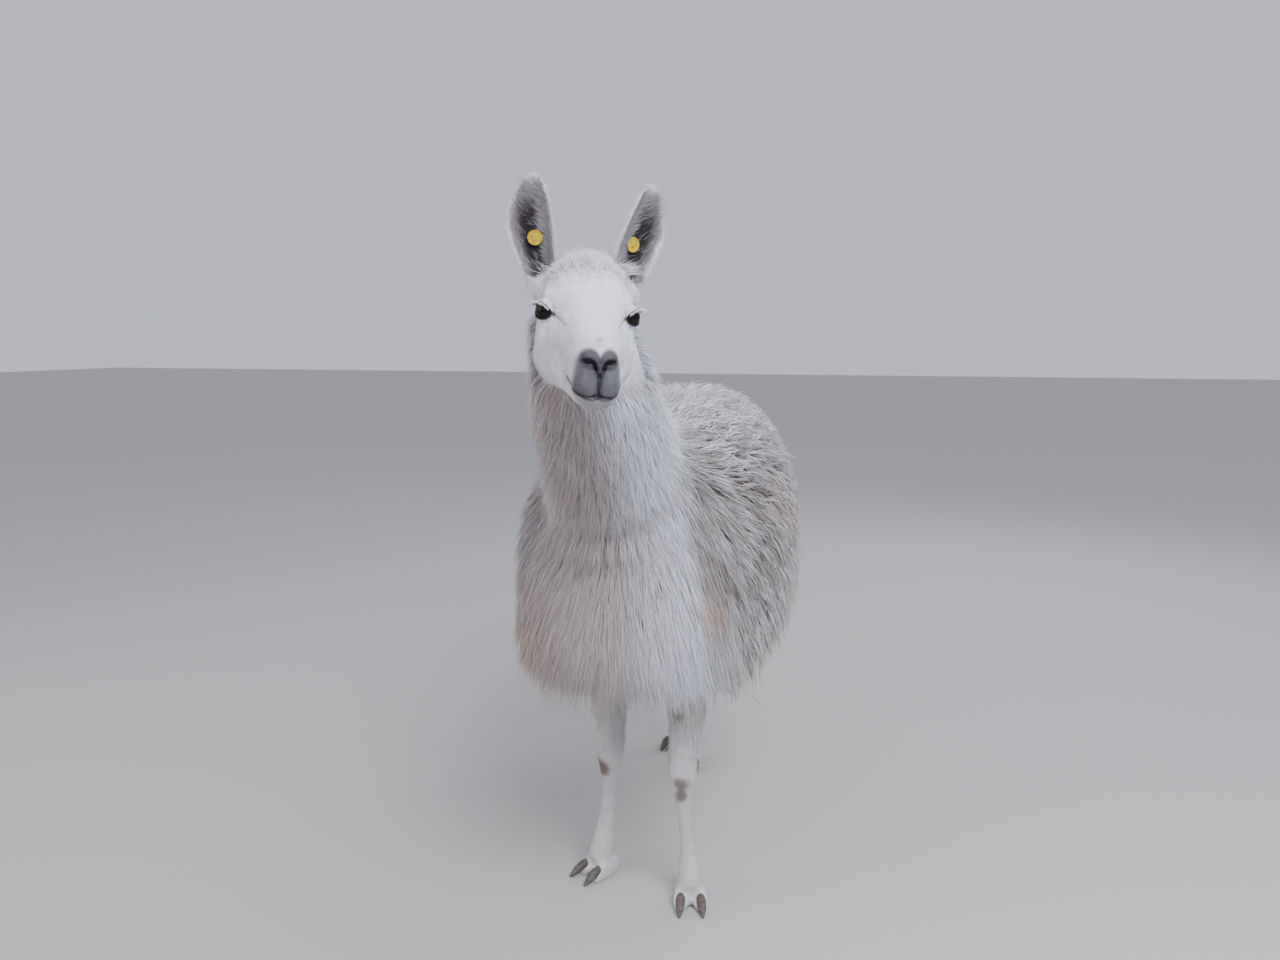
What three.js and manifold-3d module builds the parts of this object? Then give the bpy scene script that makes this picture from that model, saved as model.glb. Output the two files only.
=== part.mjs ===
// A standing llama in a heavy coat, life size, as a still museum-type model.
// Millimetres. The animal faces -Y, its own left is +X and +Z is up. It is laid out with the
// middle of the chest at x = 0 and the forefeet at y = 0, and ends up centred over its footprint.
// The solids follow the outside of the coat, out to the tips of the wool.
import * as THREE from 'three';
import { mergeVertices } from 'three/addons/utils/BufferGeometryUtils.js';
import Module from 'manifold-3d';

const wasm = await Module();
wasm.setup();

const V = (x, y, z) => new THREE.Vector3(x, y, z);
const radians = THREE.MathUtils.degToRad;

// Working clearances
const GAP = 0.35;
const WELD = 1e-3;
const FAR = 4000;
// How far out along its rounded end each closing ring of a body stands
const DOME_SHARES = [0.6, 0.92];

// Coat and horn colours
const COAT = { color: 0xd9d3ca, roughness: 0.95, metalness: 0 };
const SHORT_COAT = { color: 0xe6e2dc, roughness: 0.9, metalness: 0 };
const EAR = { color: 0x6b605c, roughness: 0.9, metalness: 0 };
const EYE = { color: 0x120d0b, roughness: 0.08, metalness: 0 };
const NAIL = { color: 0x3f3c3a, roughness: 0.6, metalness: 0 };
const TAG = { color: 0xe3c01e, roughness: 0.45, metalness: 0 };

// Trunk: y, x, height of the widest line, half width, rise above it, drop below it
const TRUNK = [
  [-240, 0, 755, 150, 165, 190],
  [-205, 0, 750, 208, 262, 240],
  [-150, 0, 745, 246, 335, 260],
  [-70, 0, 742, 278, 388, 274],
  [60, 0, 740, 300, 420, 286],
  [240, -2, 740, 316, 432, 298],
  [460, -6, 740, 322, 432, 300],
  [650, -12, 740, 304, 430, 286],
  [790, -18, 740, 270, 404, 262],
  [880, -22, 740, 218, 352, 225],
  [940, -24, 742, 152, 276, 180],
];
const TRUNK_RINGS = 15;
const TRUNK_SIDES = 28;
const TRUNK_DOME = [26, 44];
const TRUNK_POWER = [2.3, 3.2];
const CHEST_END = 150;
const BARREL_END = 640;

// Neck: y, x, z, half width, reach to the throat side, reach to the mane side
const NECK = [
  [30, -6, 880, 190, 190, 170],
  [-70, -12, 950, 170, 180, 165],
  [-150, -13, 1015, 156, 164, 152],
  [-240, -6, 1090, 142, 144, 134],
  [-325, 4, 1170, 130, 126, 116],
  [-385, 11, 1245, 117, 110, 98],
  [-412, 15, 1310, 105, 94, 82],
  [-418, 24, 1370, 80, 58, 66],
];
const NECK_RINGS = 10;
const NECK_SIDES = 22;
const NECK_POWER = [2.1, 2.1];
const NECK_DOME = [8, 34];
const NECK_SPLIT = { y: -262, z: 1108, lean: 47 };

// Head: an own frame at the middle between the eyes, turned to the animal's left
const HEAD_AT = V(32.7, -462.8, 1337);
const HEAD_YAW = radians(23.2);
const HEAD_PITCH = radians(8);
const HEAD_ROLL = radians(4);
// Distance ahead of the eyes, half width, crown, widest line, underside
const HEAD = [
  [-118, 62, 80, -5, -92],
  [-85, 79, 98, -26, -117],
  [-40, 89, 98, -46, -131],
  [0, 88, 78, -52, -133],
  [38, 75, 54, -58, -132],
  [80, 61, 34, -63, -130],
  [120, 51, 16, -67, -128],
  [160, 43, 0, -70, -126],
  [195, 38, -12, -68, -123],
  [222, 34, -22, -72, -118],
  [238, 27, -32, -76, -109],
];
const HEAD_RINGS = 12;
const HEAD_SIDES = 20;
const HEAD_POWER = [2.3, 3.3];
const HEAD_DOME = [24, 9];

// Eyes
const EYE_RADIUS = 19;
const EYE_MERIDIANS = 12;
const EYE_PARALLELS = 8;
const EYE_OUT = 69;
const EYE_AHEAD = 6;
const EYE_RISE = 0;

// Ears: share of the length, half width, depth of the cup, sideways bow
const EAR_SHAPE = [
  [0, 24, 26, 2],
  [0.14, 29, 29, 6],
  [0.36, 37, 28, 13],
  [0.55, 40, 22, 15],
  [0.74, 33, 15, 11],
  [0.89, 20, 9, 5],
  [0.97, 9, 4, 1],
];
// How much further in the inner edge of the left ear lies, which is turned out and open
const EAR_SPREAD = [
  [0, 10],
  [0.14, 14],
  [0.32, 17],
  [0.55, 8],
  [0.8, 0],
  [1, 0],
];
const EAR_ROOT = { ahead: -74, out: 72, rise: 34 };
const EAR_TIP = { ahead: -90, out: 101, rise: 222 };
const EAR_TURN = { left: radians(30), right: radians(8) };
const EAR_WALL = 5;
const EAR_RIM = 2.5;
const EAR_EDGE = 0.35;
const EAR_RINGS = 9;
const EAR_ARC = 5;
const EAR_OPEN = radians(82);

// Round tag through each ear
const TAG_SHARE = 0.43;
const TAG_ASIDE = { left: -11, right: -4 };
const TAG_RADIUS = 13;
const TAG_THICK = 2.4;
const TAG_STEM = 3;
const TAG_CLEAR = 0.8;
const TAG_SEAT = 6.3;
const TAG_SIDES = 14;

// Forelegs and hind legs: height, half width, reach behind, reach in front
const FORE_SHAPE = [
  [640, 66, 84, 72],
  [520, 56, 70, 62],
  [434, 46, 56, 50],
  [380, 40, 46, 42],
  [325, 39, 38, 40],
  [288, 33, 31, 35],
  [248, 22.5, 25, 25],
  [195, 19.5, 23, 22],
  [145, 20.5, 25, 23],
  [105, 26, 31, 27],
  [70, 30, 32, 31],
  [44, 31, 26, 33],
];
const HIND_SHAPE = [
  [700, 78, 120, 105],
  [600, 66, 96, 84],
  [520, 50, 66, 56],
  [455, 36, 52, 42],
  [415, 30, 44, 36],
  [370, 24, 34, 30],
  [290, 20.5, 27, 25],
  [190, 20.5, 26, 25],
  [110, 26, 32, 28],
  [74, 30, 32, 31],
  [44, 30, 25, 33],
];
const LEG_RINGS = 17;
const LEG_SIDES = 10;
const LEG_POWER = [2.1, 2.1];
const LEG_SPLIT = { fore: 262, hind: 400 };
const FOOT_SPLIT = 84;
// Where each leg runs: height, x, y. The toes point "toes" degrees to the animal's left
const LEGS = {
  foreleg_left: {
    shape: FORE_SHAPE,
    split: LEG_SPLIT.fore,
    toes: 14,
    run: [
      [640, 112, 10],
      [434, 108, -5],
      [325, 105, -22],
      [250, 106, -17],
      [190, 110, -11],
      [110, 118, -2],
      [44, 124, -12],
    ],
  },
  foreleg_right: {
    shape: FORE_SHAPE,
    split: LEG_SPLIT.fore,
    toes: -33,
    run: [
      [640, -104, 70],
      [434, -92, 64],
      [320, -88, 58],
      [240, -91, 61],
      [170, -98, 65],
      [107, -105, 62],
      [44, -113, 50],
    ],
  },
  hindleg_left: {
    shape: HIND_SHAPE,
    split: LEG_SPLIT.hind,
    toes: 4,
    run: [
      [700, 80, 690],
      [600, 66, 680],
      [500, 34, 742],
      [430, 12, 764],
      [290, -10, 740],
      [110, -25, 712],
      [44, -29, 694],
    ],
  },
  hindleg_right: {
    shape: HIND_SHAPE,
    split: LEG_SPLIT.hind,
    toes: -6,
    run: [
      [700, -112, 790],
      [600, -112, 790],
      [500, -106, 862],
      [430, -101, 888],
      [290, -98, 866],
      [110, -97, 840],
      [44, -98, 822],
    ],
  },
};

// Toes: distance ahead of the leg's axis, half width, top, with the sole cut flat on the floor
const TOE = [
  [-34, 17, 40],
  [-8, 20, 46],
  [18, 20.5, 42],
  [42, 18.5, 31],
];
const TOE_SPREAD = 20.5;
const TOE_TURN = radians(5);
const TOE_CENTRE = 16;
const TOE_RINGS = 4;
const TOE_SIDES = 8;
const TOE_DOME = [8, 9];
const TOE_POWER = [2.2, 2.6];
const SOLE_DIP = 22;
// Nails: distance ahead, half width, height of the middle, half height
const NAIL_SHAPE = [
  [24, 11, 26, 10],
  [38, 12.5, 23, 12.5],
  [52, 11.5, 17, 12],
  [64, 8, 11, 8.5],
  [73, 3.5, 6, 4],
];
const NAIL_RINGS = 4;
const NAIL_SIDES = 6;
const NAIL_DOME = [3, 2];
const NAIL_POWER = [2, 2.4];
const NAIL_LIFT = 0.6;

// Tail: y, x, z, half width, reach behind, reach in front
const TAIL = [
  [900, -22, 1040, 34, 34, 30],
  [958, -23, 1012, 44, 42, 38],
  [1002, -24, 950, 50, 46, 42],
  [1016, -24, 880, 48, 43, 40],
  [1012, -24, 810, 36, 32, 30],
  [1004, -24, 764, 18, 16, 15],
];
const TAIL_RINGS = 8;
const TAIL_SIDES = 12;
const TAIL_DOME = [6, 14];
const TAIL_POWER = [2, 2];

// A smooth curve through rows of [place, value, value, ...]
function track(rows) {
  const sorted = [...rows].sort((a, b) => a[0] - b[0]);
  const places = sorted.map((row) => row[0]);
  const values = sorted.flatMap((row) => row.slice(1));
  const curve = new THREE.CubicInterpolant(places, values, rows[0].length - 1);
  return (place) => Array.from(curve.evaluate(place));
}

// Evenly spaced places from one end to the other
function steps(from, to, count) {
  const stride = (to - from) / (count - 1);
  return Array.from({ length: count }, (_, i) => from + stride * i);
}

// Closed body over rings of points: the ends are closed by fans around their middles
function skinOver(rings) {
  const size = rings[0].length;
  const middle = (ring) => ring.reduce((sum, p) => sum.add(p), V(0, 0, 0)).divideScalar(size);
  const points = [...rings.flat(), middle(rings[0]), middle(rings.at(-1))];
  const faces = [];
  for (let r = 0; r + 1 < rings.length; r++) {
    for (let i = 0; i < size; i++) {
      const [a, b] = [r * size + i, r * size + ((i + 1) % size)];
      faces.push(a, b, b + size, a, b + size, a + size);
    }
  }
  const last = (rings.length - 1) * size;
  for (let i = 0; i < size; i++) {
    const next = (i + 1) % size;
    faces.push(points.length - 2, next, i, points.length - 1, last + i, last + next);
  }
  return shell(points, faces);
}

// Indexed geometry, its faces turned outwards
function shell(points, faces) {
  const geometry = new THREE.BufferGeometry().setFromPoints(points);
  const [a, b, c] = [V(), V(), V()];
  let volume = 0;
  for (let i = 0; i < faces.length; i += 3) {
    a.copy(points[faces[i]]);
    b.copy(points[faces[i + 1]]);
    c.copy(points[faces[i + 2]]);
    volume += a.dot(b.cross(c));
  }
  geometry.setIndex(volume < 0 ? faces.reverse() : faces);
  return geometry;
}

const power = (value, n) => Math.sign(value) * Math.abs(value) ** (2 / n);

// One ring of a loft: a rounded section with its own reach on the two sides of the widest line
function ring({ centre, side, up, half, first, second }, sides, powers, grow) {
  return steps(0, 2 * Math.PI, sides + 1).slice(0, sides).map((angle) => {
    const [c, s] = [Math.cos(angle), Math.sin(angle)];
    const n = s > 0 ? powers[0] : powers[1];
    const reach = (s > 0 ? first : second) + grow;
    return centre.clone()
      .addScaledVector(side, power(c, n) * (half + grow))
      .addScaledVector(up, power(s, n) * reach);
  });
}

// A body along stations, with a rounded end of the given length at each end
function loft(stations, { sides, powers, dome, grow = 0 }) {
  const rings = stations.map((station) => ring(station, sides, powers, grow));
  const ends = [[stations[0], stations[1], dome[0]], [stations.at(-1), stations.at(-2), dome[1]]];
  const [start, end] = ends.map(([station, next, length]) => {
    const outward = station.centre.clone().sub(next.centre).normalize();
    return DOME_SHARES.map((share) => {
      const shrink = Math.sqrt(1 - share * share);
      const moved = station.centre.clone().addScaledVector(outward, share * (length + grow));
      const scaled = { ...station, centre: moved };
      scaled.half = (station.half + grow) * shrink;
      scaled.first = (station.first + grow) * shrink;
      scaled.second = (station.second + grow) * shrink;
      return ring(scaled, sides, powers, 0);
    });
  });
  return skinOver([...start.reverse(), ...rings, ...end]);
}

// Stations along a curve of centres: "side" stays level, "up" stands square to the curve
function stationsAlong(centres, side, sizes) {
  return centres.map((centre, i) => {
    const before = centres[Math.max(i - 1, 0)];
    const after = centres[Math.min(i + 1, centres.length - 1)];
    const along = after.clone().sub(before).normalize();
    const up = side.clone().cross(along).normalize();
    const [half, first, second] = sizes[i];
    return { centre, side, up, half, first, second };
  });
}

// Manifold body of a geometry
function body(geometry) {
  const bare = new THREE.BufferGeometry();
  bare.setAttribute('position', geometry.getAttribute('position'));
  bare.setIndex(geometry.index);
  const merged = mergeVertices(bare, WELD);
  const vertProperties = merged.getAttribute('position').array;
  const triVerts = new Uint32Array(merged.index.array);
  return new wasm.Manifold(new wasm.Mesh({ numProp: 3, vertProperties, triVerts }));
}

// Geometry of a manifold body
function geometryOf(solid) {
  const mesh = solid.getMesh();
  const geometry = new THREE.BufferGeometry();
  geometry.setAttribute('position', new THREE.BufferAttribute(new Float32Array(mesh.vertProperties), 3));
  geometry.setIndex(new THREE.BufferAttribute(new Uint32Array(mesh.triVerts), 1));
  return geometry;
}

// A block between two heights or depths, reaching far past the animal on the other axes
function slab(axis, from, to) {
  const size = V(FAR, FAR, FAR).setComponent(axis, to - from);
  const centre = V(0, 0, 0).setComponent(axis, (from + to) / 2);
  return body(new THREE.BoxGeometry(...size).translate(...centre));
}

// The largest connected piece
function largest(solid) {
  return solid.decompose().reduce((best, piece) => (piece.volume() > best.volume() ? piece : best));
}

const group = new THREE.Group();

function addNode(name, solid, look) {
  const mesh = new THREE.Mesh(geometryOf(largest(solid)), new THREE.MeshStandardMaterial(look));
  mesh.name = name;
  group.add(mesh);
}

// A body along y whose centre line and sizes follow a table of y, x, z, half, first, second
function tableBody(rows, rings, side, options) {
  const at = track(rows);
  const places = steps(rows[0][0], rows.at(-1)[0], rings);
  const centres = places.map((y) => V(at(y)[0], y, at(y)[1]));
  return body(loft(stationsAlong(centres, side, places.map((y) => at(y).slice(2))), options));
}

function trunkBody(grow = 0) {
  const options = { sides: TRUNK_SIDES, powers: TRUNK_POWER, dome: TRUNK_DOME, grow };
  return tableBody(TRUNK, TRUNK_RINGS, V(1, 0, 0), options);
}

// A body along a curve through every row's own place, for parts that turn over
function curveBody(rows, rings, options) {
  const share = rows.map((row, i) => [i / (rows.length - 1), ...row]);
  const at = track(share);
  const values = steps(0, 1, rings).map(at);
  const centres = values.map(([y, x, z]) => V(x, y, z));
  return body(loft(stationsAlong(centres, V(1, 0, 0), values.map((v) => v.slice(3))), options));
}

function neckBody(grow = 0) {
  return curveBody(NECK, NECK_RINGS, { sides: NECK_SIDES, powers: NECK_POWER, dome: NECK_DOME, grow });
}

// Head frame: ahead, towards the animal's left, and up
function headFrame() {
  const ahead = V(Math.sin(HEAD_YAW), -Math.cos(HEAD_YAW), 0).multiplyScalar(Math.cos(HEAD_PITCH));
  ahead.z = -Math.sin(HEAD_PITCH);
  const left = V(Math.cos(HEAD_YAW), Math.sin(HEAD_YAW), 0).applyAxisAngle(ahead, -HEAD_ROLL);
  return { ahead, left, up: ahead.clone().cross(left) };
}

const FACE = headFrame();

// Point of the head, in the animal's frame
function onHead(ahead, left, rise) {
  return HEAD_AT.clone()
    .addScaledVector(FACE.ahead, ahead)
    .addScaledVector(FACE.left, left)
    .addScaledVector(FACE.up, rise);
}

function headBody(grow = 0) {
  const at = track(HEAD);
  const stations = steps(HEAD[0][0], HEAD.at(-1)[0], HEAD_RINGS).map((ahead) => {
    const [half, crown, widest, under] = at(ahead);
    const centre = onHead(ahead, 0, widest);
    return { centre, side: FACE.left, up: FACE.up, half, first: crown - widest, second: widest - under };
  });
  return body(loft(stations, { sides: HEAD_SIDES, powers: HEAD_POWER, dome: HEAD_DOME, grow }));
}

function eyeBody(left, grow = 0) {
  const ball = new THREE.SphereGeometry(EYE_RADIUS + grow, EYE_MERIDIANS, EYE_PARALLELS);
  return body(ball.translate(...onHead(EYE_AHEAD, left * EYE_OUT, EYE_RISE)));
}

// Ear frame: along the ear, across it and out of its opening
function earFrame(left) {
  const root = onHead(EAR_ROOT.ahead, left * EAR_ROOT.out, EAR_ROOT.rise);
  const tip = onHead(EAR_TIP.ahead, left * EAR_TIP.out, EAR_TIP.rise);
  const along = tip.clone().sub(root).normalize();
  const turn = left > 0 ? EAR_TURN.left : EAR_TURN.right;
  const open = FACE.ahead.clone().applyAxisAngle(along, left * turn);
  open.addScaledVector(along, -open.dot(along)).normalize();
  const across = along.clone().cross(open);
  across.multiplyScalar(left * Math.sign(across.dot(FACE.left)));
  return { root, along, open, across, length: tip.distanceTo(root), spread: left > 0 ? 1 : 0 };
}

// Middle of the back of the cup at a share of the ear's length
function earBack(frame, share, bow, cup) {
  return frame.root.clone()
    .addScaledVector(frame.along, share * frame.length)
    .addScaledVector(frame.across, bow)
    .addScaledVector(frame.open, -cup);
}

// Section of the ear: a crescent, its outer arc first and then its inner arc back
function earRing(frame, share, [half, cup, bow]) {
  const innerHalf = half + frame.spread * track(EAR_SPREAD)(share)[0];
  const arc = (wall) => steps(-EAR_OPEN, EAR_OPEN, EAR_ARC + 1).map((angle) => {
    const width = (angle < 0 ? innerHalf : half) - wall * EAR_EDGE;
    const across = (Math.sin(angle) / Math.sin(EAR_OPEN)) * width;
    const deep = ((Math.cos(angle) - Math.cos(EAR_OPEN)) / (1 - Math.cos(EAR_OPEN))) * (cup - wall);
    return earBack(frame, share, bow, deep).addScaledVector(frame.across, across);
  });
  const inner = arc(EAR_WALL).map((point) => point.addScaledVector(frame.open, EAR_RIM));
  return [...arc(0), ...inner.reverse()];
}

// The ear as a cupped leaf, closed at both ends by strips between its two arcs
function earBody(left) {
  const frame = earFrame(left);
  const at = track(EAR_SHAPE);
  const rings = steps(0, EAR_SHAPE.at(-1)[0], EAR_RINGS).map((share) => earRing(frame, share, at(share)));
  const size = rings[0].length;
  const faces = [];
  for (let r = 0; r + 1 < rings.length; r++) {
    for (let i = 0; i < size; i++) {
      const [a, b] = [r * size + i, r * size + ((i + 1) % size)];
      faces.push(a, b, b + size, a, b + size, a + size);
    }
  }
  const last = (rings.length - 1) * size;
  for (let i = 0; i < EAR_ARC; i++) {
    const [a, b, c, d] = [i, i + 1, size - 2 - i, size - 1 - i];
    faces.push(a, c, b, a, d, c);
    faces.push(last + a, last + b, last + c, last + a, last + c, last + d);
  }
  return body(shell(rings.flat(), faces));
}

// A cylinder with its axis along "axis", its middle at "centre"
function rod(centre, axis, radius, length) {
  const turn = new THREE.Quaternion().setFromUnitVectors(V(0, 1, 0), axis);
  const shape = new THREE.CylinderGeometry(radius, radius, length, TAG_SIDES);
  return body(shape.applyQuaternion(turn).translate(...centre));
}

// Tag: a disc inside the cup, a disc behind the ear and the stem that joins them
function tagBody(left, grow = 0) {
  const frame = earFrame(left);
  const [, cup, bow] = track(EAR_SHAPE)(TAG_SHARE);
  const aside = bow + (left > 0 ? TAG_ASIDE.left : TAG_ASIDE.right);
  const place = (deep) => earBack(frame, TAG_SHARE, aside, deep);
  const front = cup - EAR_WALL - TAG_SEAT - TAG_THICK / 2;
  const back = cup + TAG_CLEAR + TAG_THICK / 2;
  const thick = TAG_THICK + 2 * grow;
  const discs = [front, back].map((deep) => rod(place(deep), frame.open, TAG_RADIUS + grow, thick));
  const stem = rod(place((front + back) / 2), frame.open, TAG_STEM + grow, back - front);
  return discs[0].add(discs[1]).add(stem);
}

// A leg's own directions, level: ahead along its toes and across to the animal's left
function legFrame(toes) {
  const turn = radians(toes);
  return { ahead: V(Math.sin(turn), -Math.cos(turn), 0), across: V(Math.cos(turn), Math.sin(turn), 0) };
}

function legBody({ shape, run, toes }, grow = 0) {
  const { across } = legFrame(toes);
  const sizeAt = track(shape);
  const placeAt = track(run);
  const heights = steps(shape[0][0], shape.at(-1)[0], LEG_RINGS);
  const centres = heights.map((z) => V(...placeAt(z), z));
  const stations = stationsAlong(centres, across, heights.map(sizeAt));
  return body(loft(stations, { sides: LEG_SIDES, powers: LEG_POWER, dome: [6, 16], grow }));
}

// Level frame of one toe, side is 1 for the animal's left toe of the pair and -1 for the other
function toeFrame({ run, toes }, side) {
  const { ahead, across } = legFrame(toes);
  const [x, y] = run.at(-1).slice(1);
  const origin = V(x, y, 0).addScaledVector(across, side * TOE_SPREAD);
  const splay = new THREE.Quaternion().setFromAxisAngle(V(0, 0, 1), side * TOE_TURN);
  return { origin, ahead: ahead.applyQuaternion(splay), across: across.applyQuaternion(splay) };
}

function toeBody(leg, side) {
  const { origin, ahead, across } = toeFrame(leg, side);
  const at = track(TOE);
  const stations = steps(TOE[0][0], TOE.at(-1)[0], TOE_RINGS).map((along) => {
    const [half, top] = at(along);
    const centre = origin.clone().addScaledVector(ahead, along).setZ(TOE_CENTRE);
    return { centre, side: across, up: V(0, 0, 1), half, first: top - TOE_CENTRE, second: SOLE_DIP };
  });
  return body(loft(stations, { sides: TOE_SIDES, powers: TOE_POWER, dome: TOE_DOME }));
}

function nailBody(leg, side, grow = 0) {
  const { origin, ahead, across } = toeFrame(leg, side);
  const at = track(NAIL_SHAPE);
  const stations = steps(NAIL_SHAPE[0][0], NAIL_SHAPE.at(-1)[0], NAIL_RINGS).map((along) => {
    const [half, middle, tall] = at(along);
    const centre = origin.clone().addScaledVector(ahead, along).setZ(middle);
    return { centre, side: across, up: V(0, 0, 1), half, first: tall, second: tall };
  });
  return body(loft(stations, { sides: NAIL_SIDES, powers: NAIL_POWER, dome: NAIL_DOME, grow }));
}

// Trunk in three lengths, parted square to the spine
const trunk = trunkBody();
const aroundTrunk = trunkBody(GAP);
addNode('chest', trunk.intersect(slab(1, -FAR / 2, CHEST_END)), COAT);
addNode('barrel', trunk.intersect(slab(1, CHEST_END + GAP, BARREL_END)), COAT);
addNode('rump', trunk.intersect(slab(1, BARREL_END + GAP, FAR / 2)), COAT);

// Neck in two lengths, parted square to its own slope, around the back of the head
const wrap = neckBody().subtract(aroundTrunk).subtract(headBody(GAP));
const neck = [1, -1].reduce((shape, left) => shape.subtract(eyeBody(left, GAP)), wrap);
function neckHalf(direction) {
  const block = new THREE.BoxGeometry(FAR / 4, FAR / 4, FAR / 4);
  block.translate(0, 0, direction * (FAR / 8 + GAP / 2));
  block.rotateX(radians(NECK_SPLIT.lean));
  return body(block.translate(0, NECK_SPLIT.y, NECK_SPLIT.z));
}
addNode('neck_lower', neck.intersect(neckHalf(-1)), COAT);
addNode('neck_upper', neck.intersect(neckHalf(1)), COAT);

// Head, with a socket for each eye
const head = [1, -1].reduce((shape, left) => shape.subtract(eyeBody(left, GAP)), headBody());
addNode('head', head, SHORT_COAT);
const aroundHead = headBody(GAP);
const aroundNeck = neckBody(GAP);
for (const [name, left] of [['left', 1], ['right', -1]]) {
  addNode(`eye_${name}`, eyeBody(left), EYE);
  const ear = earBody(left).subtract(aroundHead).subtract(aroundNeck);
  addNode(`ear_${name}`, ear.subtract(tagBody(left, GAP)), EAR);
  addNode(`ear_tag_${name}`, tagBody(left), TAG);
}

// Legs: the upper length runs into the coat of the trunk, and the feet stand flat on the floor
const aboveFloor = slab(2, 0, FAR);
for (const [name, leg] of Object.entries(LEGS)) {
  const length = legBody(leg).subtract(aroundTrunk);
  addNode(`${name}_upper`, length.intersect(slab(2, leg.split + GAP, FAR)), SHORT_COAT);
  addNode(`${name}_lower`, length.intersect(slab(2, FOOT_SPLIT + GAP, leg.split)), SHORT_COAT);
  const pastern = length.intersect(slab(2, 0, FOOT_SPLIT));
  const toes = pastern.add(toeBody(leg, 1)).add(toeBody(leg, -1)).intersect(aboveFloor);
  const nails = nailBody(leg, 1, GAP).add(nailBody(leg, -1, GAP));
  addNode(`${name}_foot`, toes.intersect(slab(2, 0, FOOT_SPLIT)).subtract(nails), SHORT_COAT);
  for (const side of [1, -1]) {
    const place = side * Math.sign(leg.run.at(-1)[1] + leg.run[0][1]) > 0 ? 'outer' : 'inner';
    addNode(`${name}_nail_${place}`, nailBody(leg, side).intersect(slab(2, NAIL_LIFT, FAR)), NAIL);
  }
}

// Tail, hanging behind the rump
const tailOptions = { sides: TAIL_SIDES, powers: TAIL_POWER, dome: TAIL_DOME };
addNode('tail', curveBody(TAIL, TAIL_RINGS, tailOptions).subtract(aroundTrunk), COAT);

// The origin is on the floor under the middle of the animal's box
const box = new THREE.Box3().setFromObject(group);
const middle = box.getCenter(V());
group.position.set(-middle.x, -middle.y, -box.min.z);

export default group;
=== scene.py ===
"""A llama standing in a heavy white coat, life size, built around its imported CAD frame."""
import math

import bpy
import numpy as np
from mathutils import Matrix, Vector
from mathutils.bvhtree import BVHTree
from mathutils.kdtree import KDTree


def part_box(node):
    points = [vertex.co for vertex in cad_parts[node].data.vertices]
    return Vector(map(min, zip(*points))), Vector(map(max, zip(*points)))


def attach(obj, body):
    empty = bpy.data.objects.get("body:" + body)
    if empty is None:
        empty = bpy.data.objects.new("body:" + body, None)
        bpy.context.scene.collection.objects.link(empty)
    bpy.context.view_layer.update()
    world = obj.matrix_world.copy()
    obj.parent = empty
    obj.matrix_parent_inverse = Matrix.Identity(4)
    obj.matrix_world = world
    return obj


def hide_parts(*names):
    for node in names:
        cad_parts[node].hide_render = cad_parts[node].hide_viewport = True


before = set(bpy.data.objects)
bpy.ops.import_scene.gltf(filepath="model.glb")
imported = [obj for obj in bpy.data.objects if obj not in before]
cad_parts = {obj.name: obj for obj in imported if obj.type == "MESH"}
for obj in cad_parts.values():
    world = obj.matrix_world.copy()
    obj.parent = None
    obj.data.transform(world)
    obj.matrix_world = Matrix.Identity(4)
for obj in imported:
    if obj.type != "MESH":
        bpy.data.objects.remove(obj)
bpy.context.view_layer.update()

# ---------------------------------------------------------------------------------------------
# Floor, light and camera. A plain pale studio floor under three broad soft lamps and a soft sky,
# with the camera a little over two metres off, at chest height, to the animal's front left.
FLOOR_SIZE = 60.0
FLOOR_COLOUR = (0.50, 0.49, 0.475)
SKY_COLOUR = (0.83, 0.86, 1.0)
SKY_STRENGTH = 0.80
CAMERA_AT = (0.5499, -2.2197, 1.300)
CAMERA_TILT = math.radians(81.41)
CAMERA_TURN = math.radians(15)
LENS = 27.0
SENSOR = 36.0


class Shade:
    """A shader socket that takes part in arithmetic. Each operation adds its Math node."""

    def __init__(self, socket):
        self.socket = socket

    def maths(self, operation, first, second=None):
        nodes = self.socket.id_data.nodes
        node = nodes.new("ShaderNodeMath")
        node.operation = operation
        for place, value in enumerate((first, second)):
            if isinstance(value, Shade):
                self.socket.id_data.links.new(value.socket, node.inputs[place])
            elif value is not None:
                node.inputs[place].default_value = value
        return Shade(node.outputs[0])

    def __add__(self, other):
        return self.maths("ADD", self, other)

    def __radd__(self, other):
        return self.maths("ADD", other, self)

    def __sub__(self, other):
        return self.maths("SUBTRACT", self, other)

    def __rsub__(self, other):
        return self.maths("SUBTRACT", other, self)

    def __mul__(self, other):
        return self.maths("MULTIPLY", self, other)

    def __rmul__(self, other):
        return self.maths("MULTIPLY", other, self)


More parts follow.
